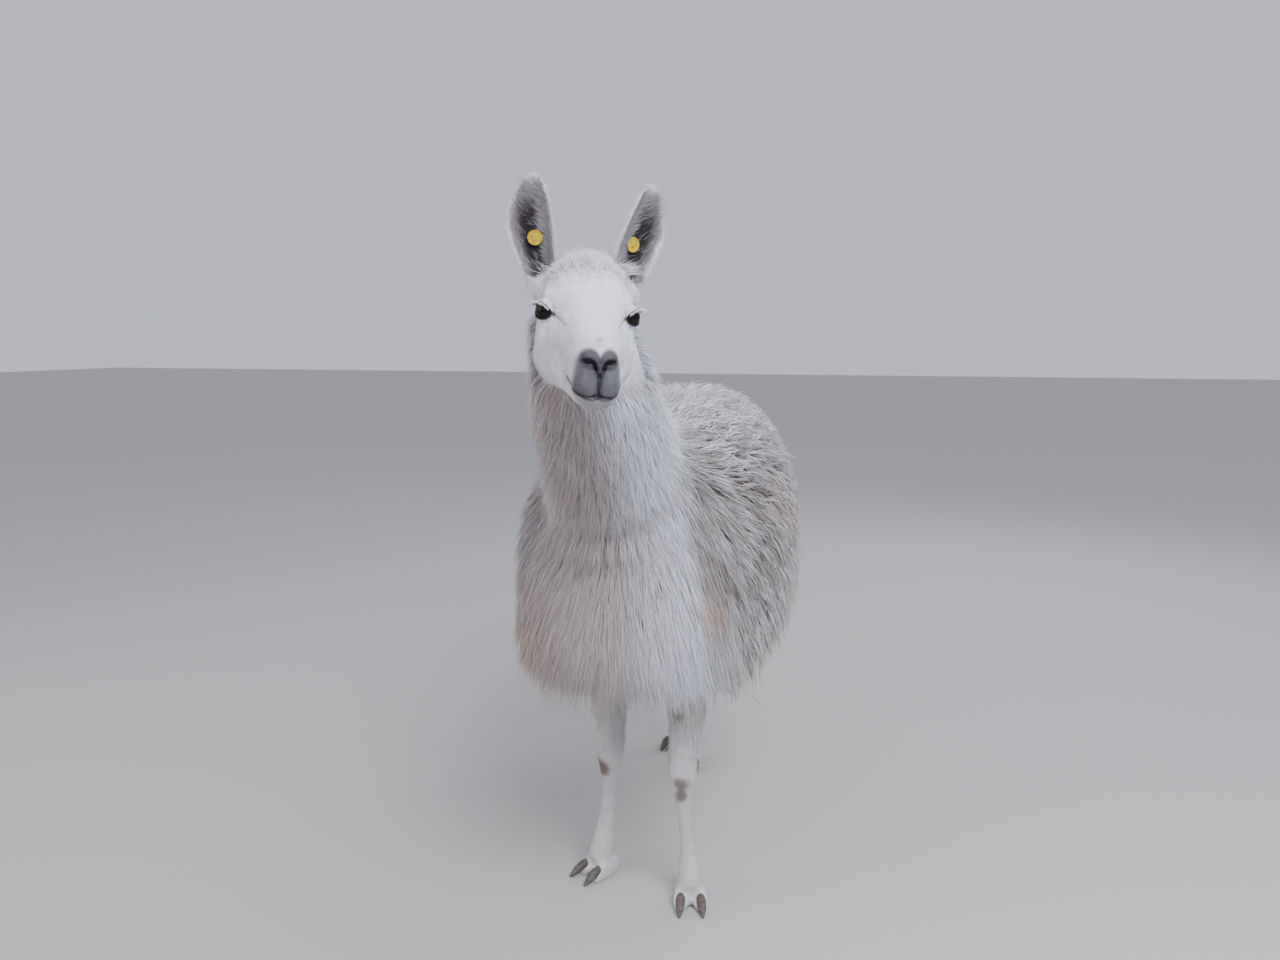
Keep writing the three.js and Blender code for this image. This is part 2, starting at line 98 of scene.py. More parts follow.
class Finish:
    """A material with one Principled shader, and one way to add any other node to it."""

    def __init__(self, name, **fixed):
        self.material = bpy.data.materials.new(name)
        self.material.use_nodes = True
        self.tree = self.material.node_tree
        self.shader = self.tree.nodes["Principled BSDF"]
        for title, value in fixed.items():
            self.shader.inputs[title.replace("_", " ")].default_value = value

    def node(self, kind, settings=None, inputs=None, out=0):
        """Adds a node of a kind, sets it, gives its sockets links or values, returns one output."""
        node = self.tree.nodes.new("ShaderNode" + kind)
        for name, value in (settings or {}).items():
            if name == "stops":
                ramp = node.color_ramp.elements
                while len(ramp) < len(value):
                    ramp.new(0.5)
                for stop, (place, colour) in zip(ramp, value):
                    stop.position = place
                    stop.color = (*colour, 1) if len(colour) == 3 else colour
            else:
                setattr(node, name, value)
        for name, value in (inputs or {}).items():
            socket = node.inputs[name]
            if isinstance(value, Shade):
                self.tree.links.new(value.socket, socket)
            else:
                socket.default_value = value
        return Shade(node.outputs[out])

    def mix(self, share, first, second, blend="MIX"):
        """A colour between two colours, or a blend of them."""
        settings = {"data_type": "RGBA", "blend_type": blend}
        return self.node("Mix", settings, {0: share, 6: first, 7: second}, out=2)

    def feed(self, title, value):
        self.tree.links.new(value.socket, self.shader.inputs[title])

    def bump(self, height, strength, distance):
        inputs = {"Height": height, "Strength": strength, "Distance": distance}
        self.feed("Normal", self.node("Bump", None, inputs))

    def wear(self, piece):
        piece.data.materials.clear()
        piece.data.materials.append(self.material)


bpy.ops.object.select_all(action="DESELECT")
bpy.ops.mesh.primitive_plane_add(size=FLOOR_SIZE)
floor = bpy.context.object
floor.name = "studio_floor"
floor_finish = Finish("studio_floor", Roughness=0.9)
speckle = floor_finish.node("TexNoise", None, {"Scale": 3.0, "Detail": 4.0})
floor_finish.feed("Base Color", floor_finish.node("ValToRGB", {"stops": [
    (0.3, tuple(0.96 * c for c in FLOOR_COLOUR)), (0.7, FLOOR_COLOUR)]}, {"Fac": speckle}))
floor_finish.wear(floor)

world = bpy.data.worlds.new("studio_sky")
world.use_nodes = True
world.node_tree.nodes["Background"].inputs["Color"].default_value = (*SKY_COLOUR, 1)
world.node_tree.nodes["Background"].inputs["Strength"].default_value = SKY_STRENGTH
bpy.context.scene.world = world

# Where each lamp hangs, what it points at, its size, power and colour
LAMPS = {
    "key_lamp": ((1.9, -2.5, 3.7), (0.1, -0.2, 0.95), 2.6, 225, (0.91, 0.95, 1.0)),
    "fill_lamp": ((-3.2, -2.4, 2.2), (0, 0.0, 0.8), 3.0, 50, (1.0, 0.92, 0.92)),
    "rim_lamp": ((1.5, 3.6, 3.4), (0, 0.2, 0.9), 3.0, 70, (0.93, 0.96, 1.0)),
}
for name, (place, target, size, power, colour) in LAMPS.items():
    lamp = bpy.data.lights.new(name, "AREA")
    lamp.shape = "DISK"
    lamp.size = size
    lamp.energy = power
    lamp.color = colour
    hanging = bpy.data.objects.new(name, lamp)
    hanging.location = place
    aim = Vector(target) - Vector(place)
    hanging.rotation_euler = aim.to_track_quat("-Z", "Y").to_euler()
    bpy.context.scene.collection.objects.link(hanging)

camera = bpy.data.objects.new("camera", bpy.data.cameras.new("camera"))
camera.data.lens = LENS
camera.data.sensor_width = SENSOR
camera.data.clip_end = 100
camera.location = CAMERA_AT
camera.rotation_euler = (CAMERA_TILT, 0, CAMERA_TURN)
bpy.context.scene.collection.objects.link(camera)
bpy.context.scene.camera = camera

# ---------------------------------------------------------------------------------------------
# Trunk, neck and tail under the wool. One hide over the flesh, as deep under the outline of the
# coat as the wool is thick there: least up the neck and on the tail, most under the belly.
MM = 0.001
# The grain of each hide: the edge of the small cubes that its surface is first built from
TRUNK_GRAIN = 0.015
SIDES = {"left": 1, "right": -1}
# Where the neck leaves the trunk, the direction that it runs in, and the way that its front faces
NECK_FOOT = np.array([-0.001, -0.156, 0.880])
NECK_RUN = np.array([0, -0.675, 0.738])
NECK_FRONT = np.array([0, -NECK_RUN[2], NECK_RUN[1]])
TRUNK_NODES = ["chest", "barrel", "rump", "neck_lower", "neck_upper", "tail"]
SKULL_FILL = "head"
TAIL_ROOT = 0.80
# Depth of the wool over the hide in each place
WOOL = {"flank": 0.054, "front": 0.040, "belly": 0.050, "neck": 0.036, "tail": 0.026}


def ease(value, start, end):
    """0 before start, 1 past end, and smooth between them."""
    share = np.clip((value - start) / (end - start), 0, 1)
    return share * share * (3 - 2 * share)


def hump(value, middle, spread):
    """1 at the middle, fading on both sides."""
    return np.exp(-(((value - middle) / spread) ** 2))


def unit(rows):
    return rows / np.maximum(np.linalg.norm(rows, axis=-1, keepdims=True), 1e-9)


def alone(piece):
    """Leaves one piece selected and active."""
    bpy.ops.object.select_all(action="DESELECT")
    piece.select_set(True)
    bpy.context.view_layer.objects.active = piece


def modify(piece, kind, **settings):
    """Gives a piece a modifier and applies it."""
    alone(piece)
    modifier = piece.modifiers.new(kind, kind)
    for name, value in settings.items():
        setattr(modifier, name, value)
    bpy.ops.object.modifier_apply(modifier=modifier.name)


def join(pieces, name):
    """Several pieces as one."""
    bpy.ops.object.select_all(action="DESELECT")
    for piece in pieces:
        piece.select_set(True)
    bpy.context.view_layer.objects.active = pieces[0]
    if len(pieces) > 1:
        bpy.ops.object.join()
    pieces[0].name = name
    pieces[0].data.name = name
    return pieces[0]


def unite(piece, part):
    """Grows a part into a piece, by the fast way where both meshes allow it."""
    corners = len(piece.data.vertices)
    modify(piece, "BOOLEAN", operation="UNION", solver="MANIFOLD", object=part)
    if len(piece.data.vertices) == corners:
        modify(piece, "BOOLEAN", operation="UNION", solver="EXACT", object=part)
    bpy.data.objects.remove(part)


def flesh_copy(nodes, name):
    """One piece from copies of CAD nodes, with their loose triangles merged."""
    copies = []
    for node in nodes:
        piece = bpy.data.objects.new(name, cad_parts[node].data.copy())
        piece.data.materials.clear()
        bpy.context.scene.collection.objects.link(piece)
        copies.append(piece)
    piece = join(copies, name)
    bpy.ops.object.mode_set(mode="EDIT")
    bpy.ops.mesh.select_all(action="SELECT")
    bpy.ops.mesh.remove_doubles(threshold=1e-5)
    bpy.ops.object.mode_set(mode="OBJECT")
    return piece


def places(piece):
    """The corners of a piece's mesh, as rows."""
    rows = np.empty(len(piece.data.vertices) * 3)
    piece.data.vertices.foreach_get("co", rows)
    return rows.reshape(-1, 3)


def outward(piece):
    """The direction that the surface faces at each corner."""
    rows = np.empty(len(piece.data.vertices) * 3)
    piece.data.vertex_normals.foreach_get("vector", rows)
    return rows.reshape(-1, 3)


def put(piece, rows):
    piece.data.vertices.foreach_set("co", rows.ravel())
    piece.data.update()


def up_the_neck(points):
    """How far up the neck from its foot, in metres."""
    return (points - NECK_FOOT) @ NECK_RUN


def wool_depth(points, normals):
    """How deep the hide lies under the outline of the coat."""
    x, y, z = points.T
    on_neck = ease(up_the_neck(points), 0.16, 0.28)
    on_front = ease(-y, 0.25, 0.40)
    on_tail = ease(y, TAIL_ROOT - 0.03, TAIL_ROOT + 0.03)
    flank = WOOL["flank"] - 0.014 * ease(z, 0.62, 0.85) - 0.008 * ease(normals[:, 2], 0.3, 0.9)
    under = WOOL["belly"] * ease(-normals[:, 2], 0.25, 0.85)
    depth = flank * (1 - on_front) + WOOL["front"] * on_front + under
    neck = WOOL["neck"] - 0.014 * ease(up_the_neck(points), 0.25, 0.60)
    depth = depth * (1 - on_neck) + neck * on_neck
    return depth * (1 - on_tail) + WOOL["tail"] * on_tail


trunk = flesh_copy([*TRUNK_NODES, SKULL_FILL], "trunk")
modify(trunk, "REMESH", mode="VOXEL", voxel_size=TRUNK_GRAIN)
modify(trunk, "SMOOTH", factor=0.5, iterations=8)
put(trunk, places(trunk) - wool_depth(places(trunk), outward(trunk))[:, None] * outward(trunk))
modify(trunk, "SMOOTH", factor=0.5, iterations=6)
modify(trunk, "REMESH", mode="VOXEL", voxel_size=TRUNK_GRAIN)
modify(trunk, "SMOOTH", factor=0.5, iterations=4)

# ---------------------------------------------------------------------------------------------
# Legs. Short hair over bone and tendon from the knee down, and muscle that widens as it goes up
# into the wool of the belly, where the thigh or shoulder carries on inside the trunk.
LEGS_GRAIN = 0.0066
# How far the hidden top of each leg leans ahead, its height and its radius
THIGHS = {"foreleg": (0.0, 0.66, 0.075), "hindleg": (-0.055, 0.68, 0.095)}
LEG_TOP_RADIUS = 0.046
LEG_OVERLAP = 0.06
SOLE_HEIGHT = 0.0025

legs = []
for pair, (lean, top, radius) in THIGHS.items():
    for side in SIDES:
        leg = flesh_copy([f"{pair}_{side}_{part}" for part in ("upper", "lower", "foot")], "leg")
        rows = places(leg)
        crest = rows[:, 2].max()
        x, y = rows[rows[:, 2] > crest - 0.035, :2].mean(axis=0)
        bpy.ops.mesh.primitive_cone_add(
            vertices=24, radius1=LEG_TOP_RADIUS, radius2=radius, depth=top - crest + LEG_OVERLAP,
            location=(x, y + lean / 2, (top + crest - LEG_OVERLAP) / 2),
            rotation=(math.atan2(-lean, top - crest), 0, 0))
        thigh = bpy.context.object
        bpy.ops.object.transform_apply()
        leg = join([leg, thigh], "leg")
        modify(leg, "REMESH", mode="VOXEL", voxel_size=LEGS_GRAIN)
        modify(leg, "SMOOTH", factor=0.5, iterations=5)
        rows, normals = places(leg), outward(leg)
        hair = 0.0015 + 0.0015 * ease(rows[:, 2], 0.05, 0.12) + 0.004 * ease(rows[:, 2], 0.28, 0.42)
        rows[:, :2] -= hair[:, None] * normals[:, :2]
        rows[rows[:, 2] < SOLE_HEIGHT, 2] = 0
        put(leg, rows)
        legs.append(leg)

# ---------------------------------------------------------------------------------------------
# Head and ears. Thin hide over the skull: brow and cheekbone, lids round the eyes, a split upper
# lip under two comma-shaped nostrils, a small chin, and two cupped ears. Shaped in millimetres
# along the head's own directions: ahead to the nose, out to the animal's left, and up.
HEAD_GRAIN = 0.0017
LOOK_DOWN = math.radians(8)
EYE_RADIUS = 19
EYE_AHEAD = 6
EYE_OUT = 69
GAZE = math.radians(54)
# Root and tip of an ear, and how far its opening turns outward
EAR_ROOT = {"ahead": -74, "out": 72, "up": 34}
EAR_TIP = {"ahead": -90, "out": 101, "up": 222}
EAR_TURN = {"left": math.radians(30), "right": math.radians(8)}
# At shares of an ear's length: half its width, how far its middle line bows outward, and how much
# wider its inner half is
EAR_SHARES = [0, 0.14, 0.36, 0.55, 0.74, 0.89, 0.97]
EAR_HALF_WIDTHS = [24, 29, 37, 40, 33, 20, 9]
EAR_BOWS = [2, 6, 13, 15, 11, 5, 1]
EAR_SPREADS = {"left": [10, 14, 16.5, 8, 1.5, 0, 0], "right": [0] * 7}
# The lids' opening: where its middle is, half its width and half its height, in degrees on the
# ball, how much it slants, and a section through the lids' rim, as distance out and radius
LID_TURN = 2
LID_WIDE = 62
LID_TALL = 37
LID_SLANT = 0.10
# Powers of the opening's outline: above 2 its ends are fuller, below 2 its arch is more pointed
LID_ENDS = 2.1
LID_ARCH = 1.8
LID_SCALE = 48 * math.radians(EYE_RADIUS)
LID_PROFILE = [(-0.4, 19.7), (-0.5, 20.6), (0.1, 21.5), (1.4, 22.2), (3.0, 22.4), (4.8, 22.0), (6.3, 20.9),
               (7.3, 20.5), (8.6, 20.8), (11.0, 18.6), (11.0, 16.5), (4.0, 16.5), (0.6, 18.0), (0.0, 19.15)]
HEAD_THINNING = 0.36
# The foot of an ear: how wide it reaches, how far it is sunk into the head, and the radius and
# depth of the round base that it grows from
EAR_REACH = 60
EAR_SINK = 22
EAR_BASE = 29
EAR_BASE_DOWN = 12


def middle_of(node):
    low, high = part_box(node)
    return (np.array(low) + np.array(high)) / 2


to_left = unit(middle_of("eye_left") - middle_of("eye_right"))
level = unit(np.cross(to_left, (0, 0, 1)))
to_nose = math.cos(LOOK_DOWN) * level - math.sin(LOOK_DOWN) * np.cross(level, to_left)
HEAD_AXES = np.array([to_nose, to_left, np.cross(to_nose, to_left)])
HEAD_AT = (middle_of("eye_left") + middle_of("eye_right")) / 2 - EYE_AHEAD * MM * to_nose


def on_head(points):
    """Points of the scene in the head's own millimetres: ahead, left, up."""
    return (points - HEAD_AT) @ HEAD_AXES.T / MM


def off_head(points):
    """Points in the head's own millimetres back in the scene."""
    return HEAD_AT + (np.asarray(points) * MM) @ HEAD_AXES


def tree_of(nodes):
    """A search tree over the surface of CAD nodes."""
    corners, faces = [], []
    for name in nodes:
        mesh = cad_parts[name].data
        first = len(corners)
        corners += [corner.co.copy() for corner in mesh.vertices]
        faces += [[first + i for i in face.vertices] for face in mesh.polygons]
    return BVHTree.FromPolygons(corners, faces)


def gap_to(tree, points):
    """Distance from each point to the surface in a tree."""
    return np.array([tree.find_nearest(Vector(point))[3] for point in points])


class Ear:
    """One ear's own directions: along it, out of its opening, and across to the outer edge."""

    def __init__(self, side):
        out = SIDES[side]
        self.root = np.array([EAR_ROOT["ahead"], out * EAR_ROOT["out"], EAR_ROOT["up"]], float)
        tip = np.array([EAR_TIP["ahead"], out * EAR_TIP["out"], EAR_TIP["up"]], float)
        self.length = np.linalg.norm(tip - self.root)
        self.spreads = EAR_SPREADS[side]
        self.along = (tip - self.root) / self.length
        turn = EAR_TURN[side]
        opening = np.array([math.cos(turn), out * math.sin(turn), 0])
        self.opening = unit(opening - (opening @ self.along) * self.along)
        across = np.cross(self.opening, self.along)
        self.across = across * np.sign(across[1] * out)

    def shares(self, rows):
        """Share of the length, and place across the cup from -1 to 1, of points on the head."""
        away = rows - self.root
        share = away @ self.along / self.length
        aside = away @ self.across - np.interp(share, EAR_SHARES, EAR_BOWS)
        half = np.interp(share, EAR_SHARES, EAR_HALF_WIDTHS)
        half = half + (aside < 0) * np.interp(share, EAR_SHARES, self.spreads)
        return share, aside / half


EARS = {side: Ear(side) for side in SIDES}


def near_line(rows, line, spread, seen_from):
    """1 on a line over the surface, fading to both sides of it. The line's points are as seen from
    the front or from the side, and each is moved onto the surface there."""
    line = np.array(line, float)
    fine = np.concatenate([
        first + (second - first) * np.linspace(0, 1, 9)[:, None]
        for first, second in zip(line[:-1], line[1:])])
    plane, outward_axis = {"front": ([1, 2], 0), "side": ([0, 2], 1)}[seen_from]
    feet = []
    for point in fine:
        beside = ((rows[:, plane] - point[plane]) ** 2).sum(axis=1)
        feet.append(rows[np.argmax(rows[:, outward_axis] - 4 * np.maximum(beside - 4, 0))])
    feet = np.array(feet)
    for _ in range(6):
        feet[1:-1] = (feet[:-2] + 2 * feet[1:-1] + feet[2:]) / 4
    near = np.full(len(rows), 1e9)
    for foot in feet:
        near = np.minimum(near, ((rows - foot) ** 2).sum(axis=1))
    return np.exp(-near / spread**2)


def lid_line(rows):
    """Around one eye, on the mirrored half of the head: the distance out from the edge of the
    lids in millimetres along the ball, the distance from the middle of the ball, and the height
    above the slanting middle line of the opening in degrees."""
    away = rows - (EYE_AHEAD, EYE_OUT, 0)
    reach = np.maximum(np.linalg.norm(away, axis=1), 1e-6)
    out = away @ (math.cos(GAZE), math.sin(GAZE), 0)
    front = away @ (math.sin(GAZE), -math.cos(GAZE), 0)
    turn = np.degrees(np.arctan2(front, out))
    rise = np.degrees(np.arcsin(np.clip(away[:, 2] / reach, -1, 1)))
    slant = rise + LID_SLANT * (turn - LID_TURN)
    share = np.sqrt(np.abs((turn - LID_TURN) / LID_WIDE) ** LID_ENDS + np.abs(slant / LID_TALL) ** LID_ARCH)
    return (share - 1) * LID_SCALE, reach, slant


def lid_ring(out):
    """The soft thick rims of both lids round one ball, as a closed band."""
    steps = np.linspace(0, 2 * math.pi, 80, endpoint=False)
    wide = np.sign(np.cos(steps)) * np.abs(np.cos(steps)) ** (2 / LID_ENDS)
    high = np.sign(np.sin(steps)) * np.abs(np.sin(steps)) ** (2 / LID_ARCH)
    rows = []
    for outward_by, radius in LID_PROFILE:
        share = 1 + outward_by / LID_SCALE
        turn = LID_TURN + LID_WIDE * wide * share
        rise = np.radians(LID_TALL * high * share - LID_SLANT * (turn - LID_TURN))
        turn = np.radians(turn)
        radius = radius + 0.7 * ease(high, 0.2, 0.9) * (radius > EYE_RADIUS + 1)
        to_gaze, to_front = np.cos(rise) * np.cos(turn), np.cos(rise) * np.sin(turn)
        rows.append(np.column_stack([
            EYE_AHEAD + radius * (to_gaze * math.cos(GAZE) + to_front * math.sin(GAZE)),
            out * (EYE_OUT + radius * (to_gaze * math.sin(GAZE) - to_front * math.cos(GAZE))),
            radius * np.sin(rise)]))
    around, count = len(steps), len(LID_PROFILE)
    faces = [(ring * around + step, ring * around + (step + 1) % around,
              (ring + 1) % count * around + (step + 1) % around, (ring + 1) % count * around + step)
             for ring in range(count) for step in range(around)]
    mesh = bpy.data.meshes.new("lids")
    mesh.from_pydata(off_head(np.concatenate(rows)).tolist(), [], faces)
    piece = bpy.data.objects.new("lids", mesh)
    bpy.context.scene.collection.objects.link(piece)
    alone(piece)
    bpy.ops.object.mode_set(mode="EDIT")
    bpy.ops.mesh.select_all(action="SELECT")
    bpy.ops.mesh.normals_make_consistent(inside=False)
    bpy.ops.mesh.quads_convert_to_tris()
    bpy.ops.object.mode_set(mode="OBJECT")
    return piece


head = flesh_copy(["head", "ear_left", "ear_right"], "head")
for ear in EARS.values():
    out = np.sign(ear.root[1])
    for middle, radius in ((ear.root - EAR_BASE_DOWN * ear.along - (0, 3 * out, 0), EAR_BASE),
                           ((EYE_AHEAD, out * EYE_OUT, 0), EYE_RADIUS + 1)):
        bpy.ops.object.select_all(action="DESELECT")
        bpy.ops.mesh.primitive_uv_sphere_add(segments=28, ring_count=18, radius=radius * MM)
        ball = bpy.context.object
        put(ball, places(ball) + off_head(middle))
        head = join([head, ball], "head")
rows = on_head(places(head))
for ear in EARS.values():
    away = rows - ear.root
    near = np.linalg.norm(away - np.outer(away @ ear.along, ear.along), axis=1) < EAR_REACH
    sunk = near * (1 - ease(away @ ear.along, 2, 16)) * (away @ ear.along > -EAR_REACH)
    beside = gap_to(tree_of(["ear_left", "ear_right"]), off_head(rows)) < 0.0002
    rows -= (EAR_SINK * sunk * beside)[:, None] * ear.along
put(head, off_head(rows))
modify(head, "REMESH", mode="VOXEL", voxel_size=HEAD_GRAIN)
rows = places(head)
ear_tree = tree_of(["ear_left", "ear_right"])
head_tree = tree_of(["head"])
on_ear = ease(gap_to(head_tree, rows) - gap_to(ear_tree, rows), -0.001, 0.006)
for ear in EARS.values():
    share = (on_head(rows) - ear.root) @ ear.along / ear.length
    on_ear *= 1 - (1 - ease(share, 0.02, 0.16)) * (np.sign(on_head(rows)[:, 1]) == np.sign(ear.root[1]))
soft = head.vertex_groups.new(name="soft")
for share in range(11):
    chosen = np.flatnonzero(np.round((1 - on_ear) * 10) == share)
    soft.add([int(i) for i in chosen], share / 10, "REPLACE")
modify(head, "SMOOTH", factor=0.5, iterations=34, vertex_group="soft")
modify(head, "SMOOTH", factor=0.5, iterations=4)

# Big forms: the hair's depth taken off, then brow, cheekbone, jaw and the hollows between
rows = on_head(places(head))
facing = outward(head) @ HEAD_AXES.T
ahead, left, up = rows.T
side = np.sign(left)
half = np.abs(left)
bare = 1 - on_ear
mirrored = np.column_stack([ahead, half, up])
depth = 4.2 - 3.0 * ease(ahead, 110, 190) + 9 * ease(up, 50, 85) * ease(-ahead, 0, 60)
rows = rows - ((depth * bare + 0.5 * on_ear)[:, None] * facing)
# Each form of the left half: its middle, how far it spreads, and how far it pushes the hide
FORMS = {
    "eye socket": ((31, 69, -3), (20, 22, 17), (2, -12.5, 0)),
    "socket towards the nose": ((50, 62, -6), (22, 18, 15), (0, -4.5, 0)),
    "brow": ((4, 79, 25), (24, 18, 9), (1, 4.0, 1.0)),
    "brow towards the nose": ((30, 66, 26), (18, 16, 12), (2, 1.5, 2.5)),
    "cheekbone": ((20, 76, -32), (34, 16, 8), (1, 3.2, 0)),
    "cheekbone towards the nose": ((66, 58, -42), (30, 14, 8), (0, 2.2, 0)),
    "hollow of the cheek": ((92, 52, -80), (34, 18, 16), (0, -3.8, 0)),
    "jowl": ((-12, 82, -78), (26, 18, 22), (0, 3.5, 0)),
    "hollow of the nose": ((150, 38, -38), (26, 14, 16), (0, -2.5, 0)),
    "nose pad": ((219, 19, -37), (9, 9, 8), (3.2, 2.2, 2.6)),
    "upper lip": ((232, 17, -80), (14, 12, 14), (5.0, 2.0, 0)),
    "side of the lip": ((214, 32, -84), (18, 10, 13), (0, 3.5, 0)),
    "chin": ((222, 0, -117), (16, 18, 8), (3.0, 0, -2.5)),
    "pad over the mouth": ((168, 40, -74), (12, 10, 10), (0, 3.0, 0)),
}
for middle, spread, push in FORMS.values():
    weight = np.ones(len(rows))
    for axis in range(3):
        weight = weight * hump(mirrored[:, axis], middle[axis], spread[axis])
    weight = weight * bare
    rows[:, 0] += push[0] * weight
    rows[:, 1] += push[1] * weight * side
    rows[:, 2] += push[2] * weight
put(head, off_head(rows))
modify(head, "SMOOTH", factor=0.5, iterations=5, vertex_group="soft")


def refine(piece, chosen):
    """Divides the faces of a piece whose middle is chosen."""
    middles = np.empty(len(piece.data.polygons) * 3)
    piece.data.polygons.foreach_get("center", middles)
    alone(piece)
    bpy.ops.object.mode_set(mode="EDIT")
    bpy.ops.mesh.select_mode(type="FACE")
    bpy.ops.mesh.select_all(action="DESELECT")
    bpy.ops.object.mode_set(mode="OBJECT")
    piece.data.polygons.foreach_set("select", chosen(on_head(middles.reshape(-1, 3))))
    bpy.ops.object.mode_set(mode="EDIT")
    bpy.ops.mesh.subdivide(number_cuts=1)
    bpy.ops.object.mode_set(mode="OBJECT")


def by_eye(rows):
    return np.linalg.norm(np.column_stack([rows[:, 0], np.abs(rows[:, 1]), rows[:, 2]])
                          - (EYE_AHEAD, EYE_OUT, 0), axis=1) < 34


refine(head, by_eye)
refine(head, lambda rows: rows[:, 0] > 196)

# Lids: the hide is drawn over the ball, opens in an almond, and has a rounded edge
rows = on_head(places(head))
side = np.sign(rows[:, 1])
mirrored = np.column_stack([rows[:, 0], np.abs(rows[:, 1]), rows[:, 2]])
lid, reach, slant = lid_line(mirrored)
edge = 17.0 + 5.0 * ease(lid, 5.5, 10.5)
hold = (1 - ease(reach, 52, 61)) * (1 - ease(lid, 6, 18))
drawn = reach * (1 - hold) + edge * hold
away = mirrored - (EYE_AHEAD, EYE_OUT, 0)
mirrored = mirrored + away * ((drawn - reach) / reach)[:, None]
rows = np.column_stack([mirrored[:, 0], mirrored[:, 1] * side, mirrored[:, 2]])
put(head, off_head(rows))

# Fine features, pressed in along the way the surface faces, for the left half: where each is
# seen from, its line as ahead, left and up, and how wide and how deep it is
rows = on_head(places(head))
facing = outward(head) @ HEAD_AXES.T
mirrored = np.column_stack([rows[:, 0], np.abs(rows[:, 1]), rows[:, 2]])
FEATURES = (
    ("nostril", "front", [(0, 26, -46), (0, 21, -43), (0, 14, -43), (0, 9, -47), (0, 7, -53)], 2.6, 11.0),
    ("nostril floor", "front", [(0, 22, -49), (0, 14, -52)], 5.0, 1.8),
    ("nostril tail", "front", [(0, 7, -53), (0, 4.5, -59), (0, 1, -66)], 2.2, 3.4),
    ("nose cleft", "front", [(0, 0, -32), (0, 0, -44)], 3.4, 1.6),
    ("lip cleft", "front", [(0, 0, -64), (0, 0, -78), (0, 0, -93)], 2.0, 5.5),
    ("mouth middle", "front", [(0, 0, -95), (0, 5, -98)], 3.4, 5.0),
    ("mouth", "front", [(0, 2, -98), (0, 12, -99.5), (0, 22, -98), (0, 29, -95)], 2.2, 6.5),
    ("mouth side", "side", [(228, 0, -96), (212, 0, -92), (192, 0, -88), (168, 0, -84.5), (150, 0, -82),
                            (143, 0, -77)], 2.2, 6.0),
    ("lip fold", "side", [(211, 0, -70), (204, 0, -82)], 2.2, 2.6),
    ("nose fold", "side", [(206, 0, -52), (190, 0, -64), (172, 0, -72)], 4.0, 2.0),
    ("cheek fold", "side", [(120, 0, -56), (94, 0, -70), (72, 0, -82)], 5.0, 1.6),
    ("eye corner", "front", [(0, 66, -2), (0, 60, -4)], 3.6, 0.6),
    ("tear line", "front", [(0, 60, -4), (0, 52, -7), (0, 45, -11)], 3.2, 1.8),
    ("eye bag", "side", [(34, 0, -24), (16, 0, -31), (-6, 0, -30)], 4.5, 1.0),
    ("jaw line", "side", [(-60, 0, -98), (-10, 0, -116), (50, 0, -121), (100, 0, -121)], 9.0, 1.0),
)
bare = 1 - ease(gap_to(head_tree, places(head)) - gap_to(ear_tree, places(head)), -0.001, 0.006)
for _, seen_from, line, spread, deep in FEATURES:
    weight = near_line(mirrored, line, spread, seen_from) * bare
    rows -= (deep * weight)[:, None] * facing
put(head, off_head(rows))
modify(head, "SMOOTH", factor=0.4, iterations=2, vertex_group="soft")
modify(head, "DECIMATE", decimate_type="COLLAPSE", ratio=HEAD_THINNING)
for out in SIDES.values():
    unite(head, lid_ring(out))
rows = on_head(places(head))
lid, reach, slant = lid_line(np.column_stack([rows[:, 0], np.abs(rows[:, 1]), rows[:, 2]]))
joining = head.vertex_groups.new(name="joining")
weight = hump(lid, 11, 3.0) * (1 - ease(reach, 30, 40))
for share in range(1, 11):
    joining.add([int(i) for i in np.flatnonzero(np.round(weight * 10) == share)], share / 10, "REPLACE")
modify(head, "SMOOTH", factor=0.5, iterations=8, vertex_group="joining")

# ---------------------------------------------------------------------------------------------
# The hide. Trunk, legs and head grown into one closed skin, unwrapped once, with the markings
# that the hair over it carries too: white, with brown and grey on flank, knees and ears; painted
# warm shade on throat and chest, painted light on the lit side and back, painted shade in creases.
skin = trunk
for part in [*legs, head]:
    unite(skin, part)
skin.name = "skin"
skin.data.name = "skin"
alone(skin)
bpy.ops.object.mode_set(mode="EDIT")
bpy.ops.mesh.select_all(action="SELECT")
bpy.ops.mesh.quads_convert_to_tris()
bpy.ops.uv.smart_project(angle_limit=math.radians(66), island_margin=0.002)
bpy.ops.object.mode_set(mode="OBJECT")
bpy.ops.object.shade_smooth()


def rows_of(store, attribute, values, width):
    """Values of one kind from a mesh, as rows."""
    rows = np.empty(values * width, np.float32 if attribute != "vertices" else np.int32)
    store.foreach_get(attribute, rows)
    return rows.reshape(values, width)


skin_at = places(skin)
skin_x, skin_y, skin_z = skin_at.T
skin_facing = outward(skin)
skin_faces = rows_of(skin.data.polygons, "vertices", len(skin.data.polygons), 3)
skin_unwrap = rows_of(skin.data.uv_layers.active.data, "uv", len(skin.data.loops), 2).reshape(-1, 3, 2)
skin_tree = BVHTree.FromPolygons([Vector(place) for place in skin_at], skin_faces.tolist())

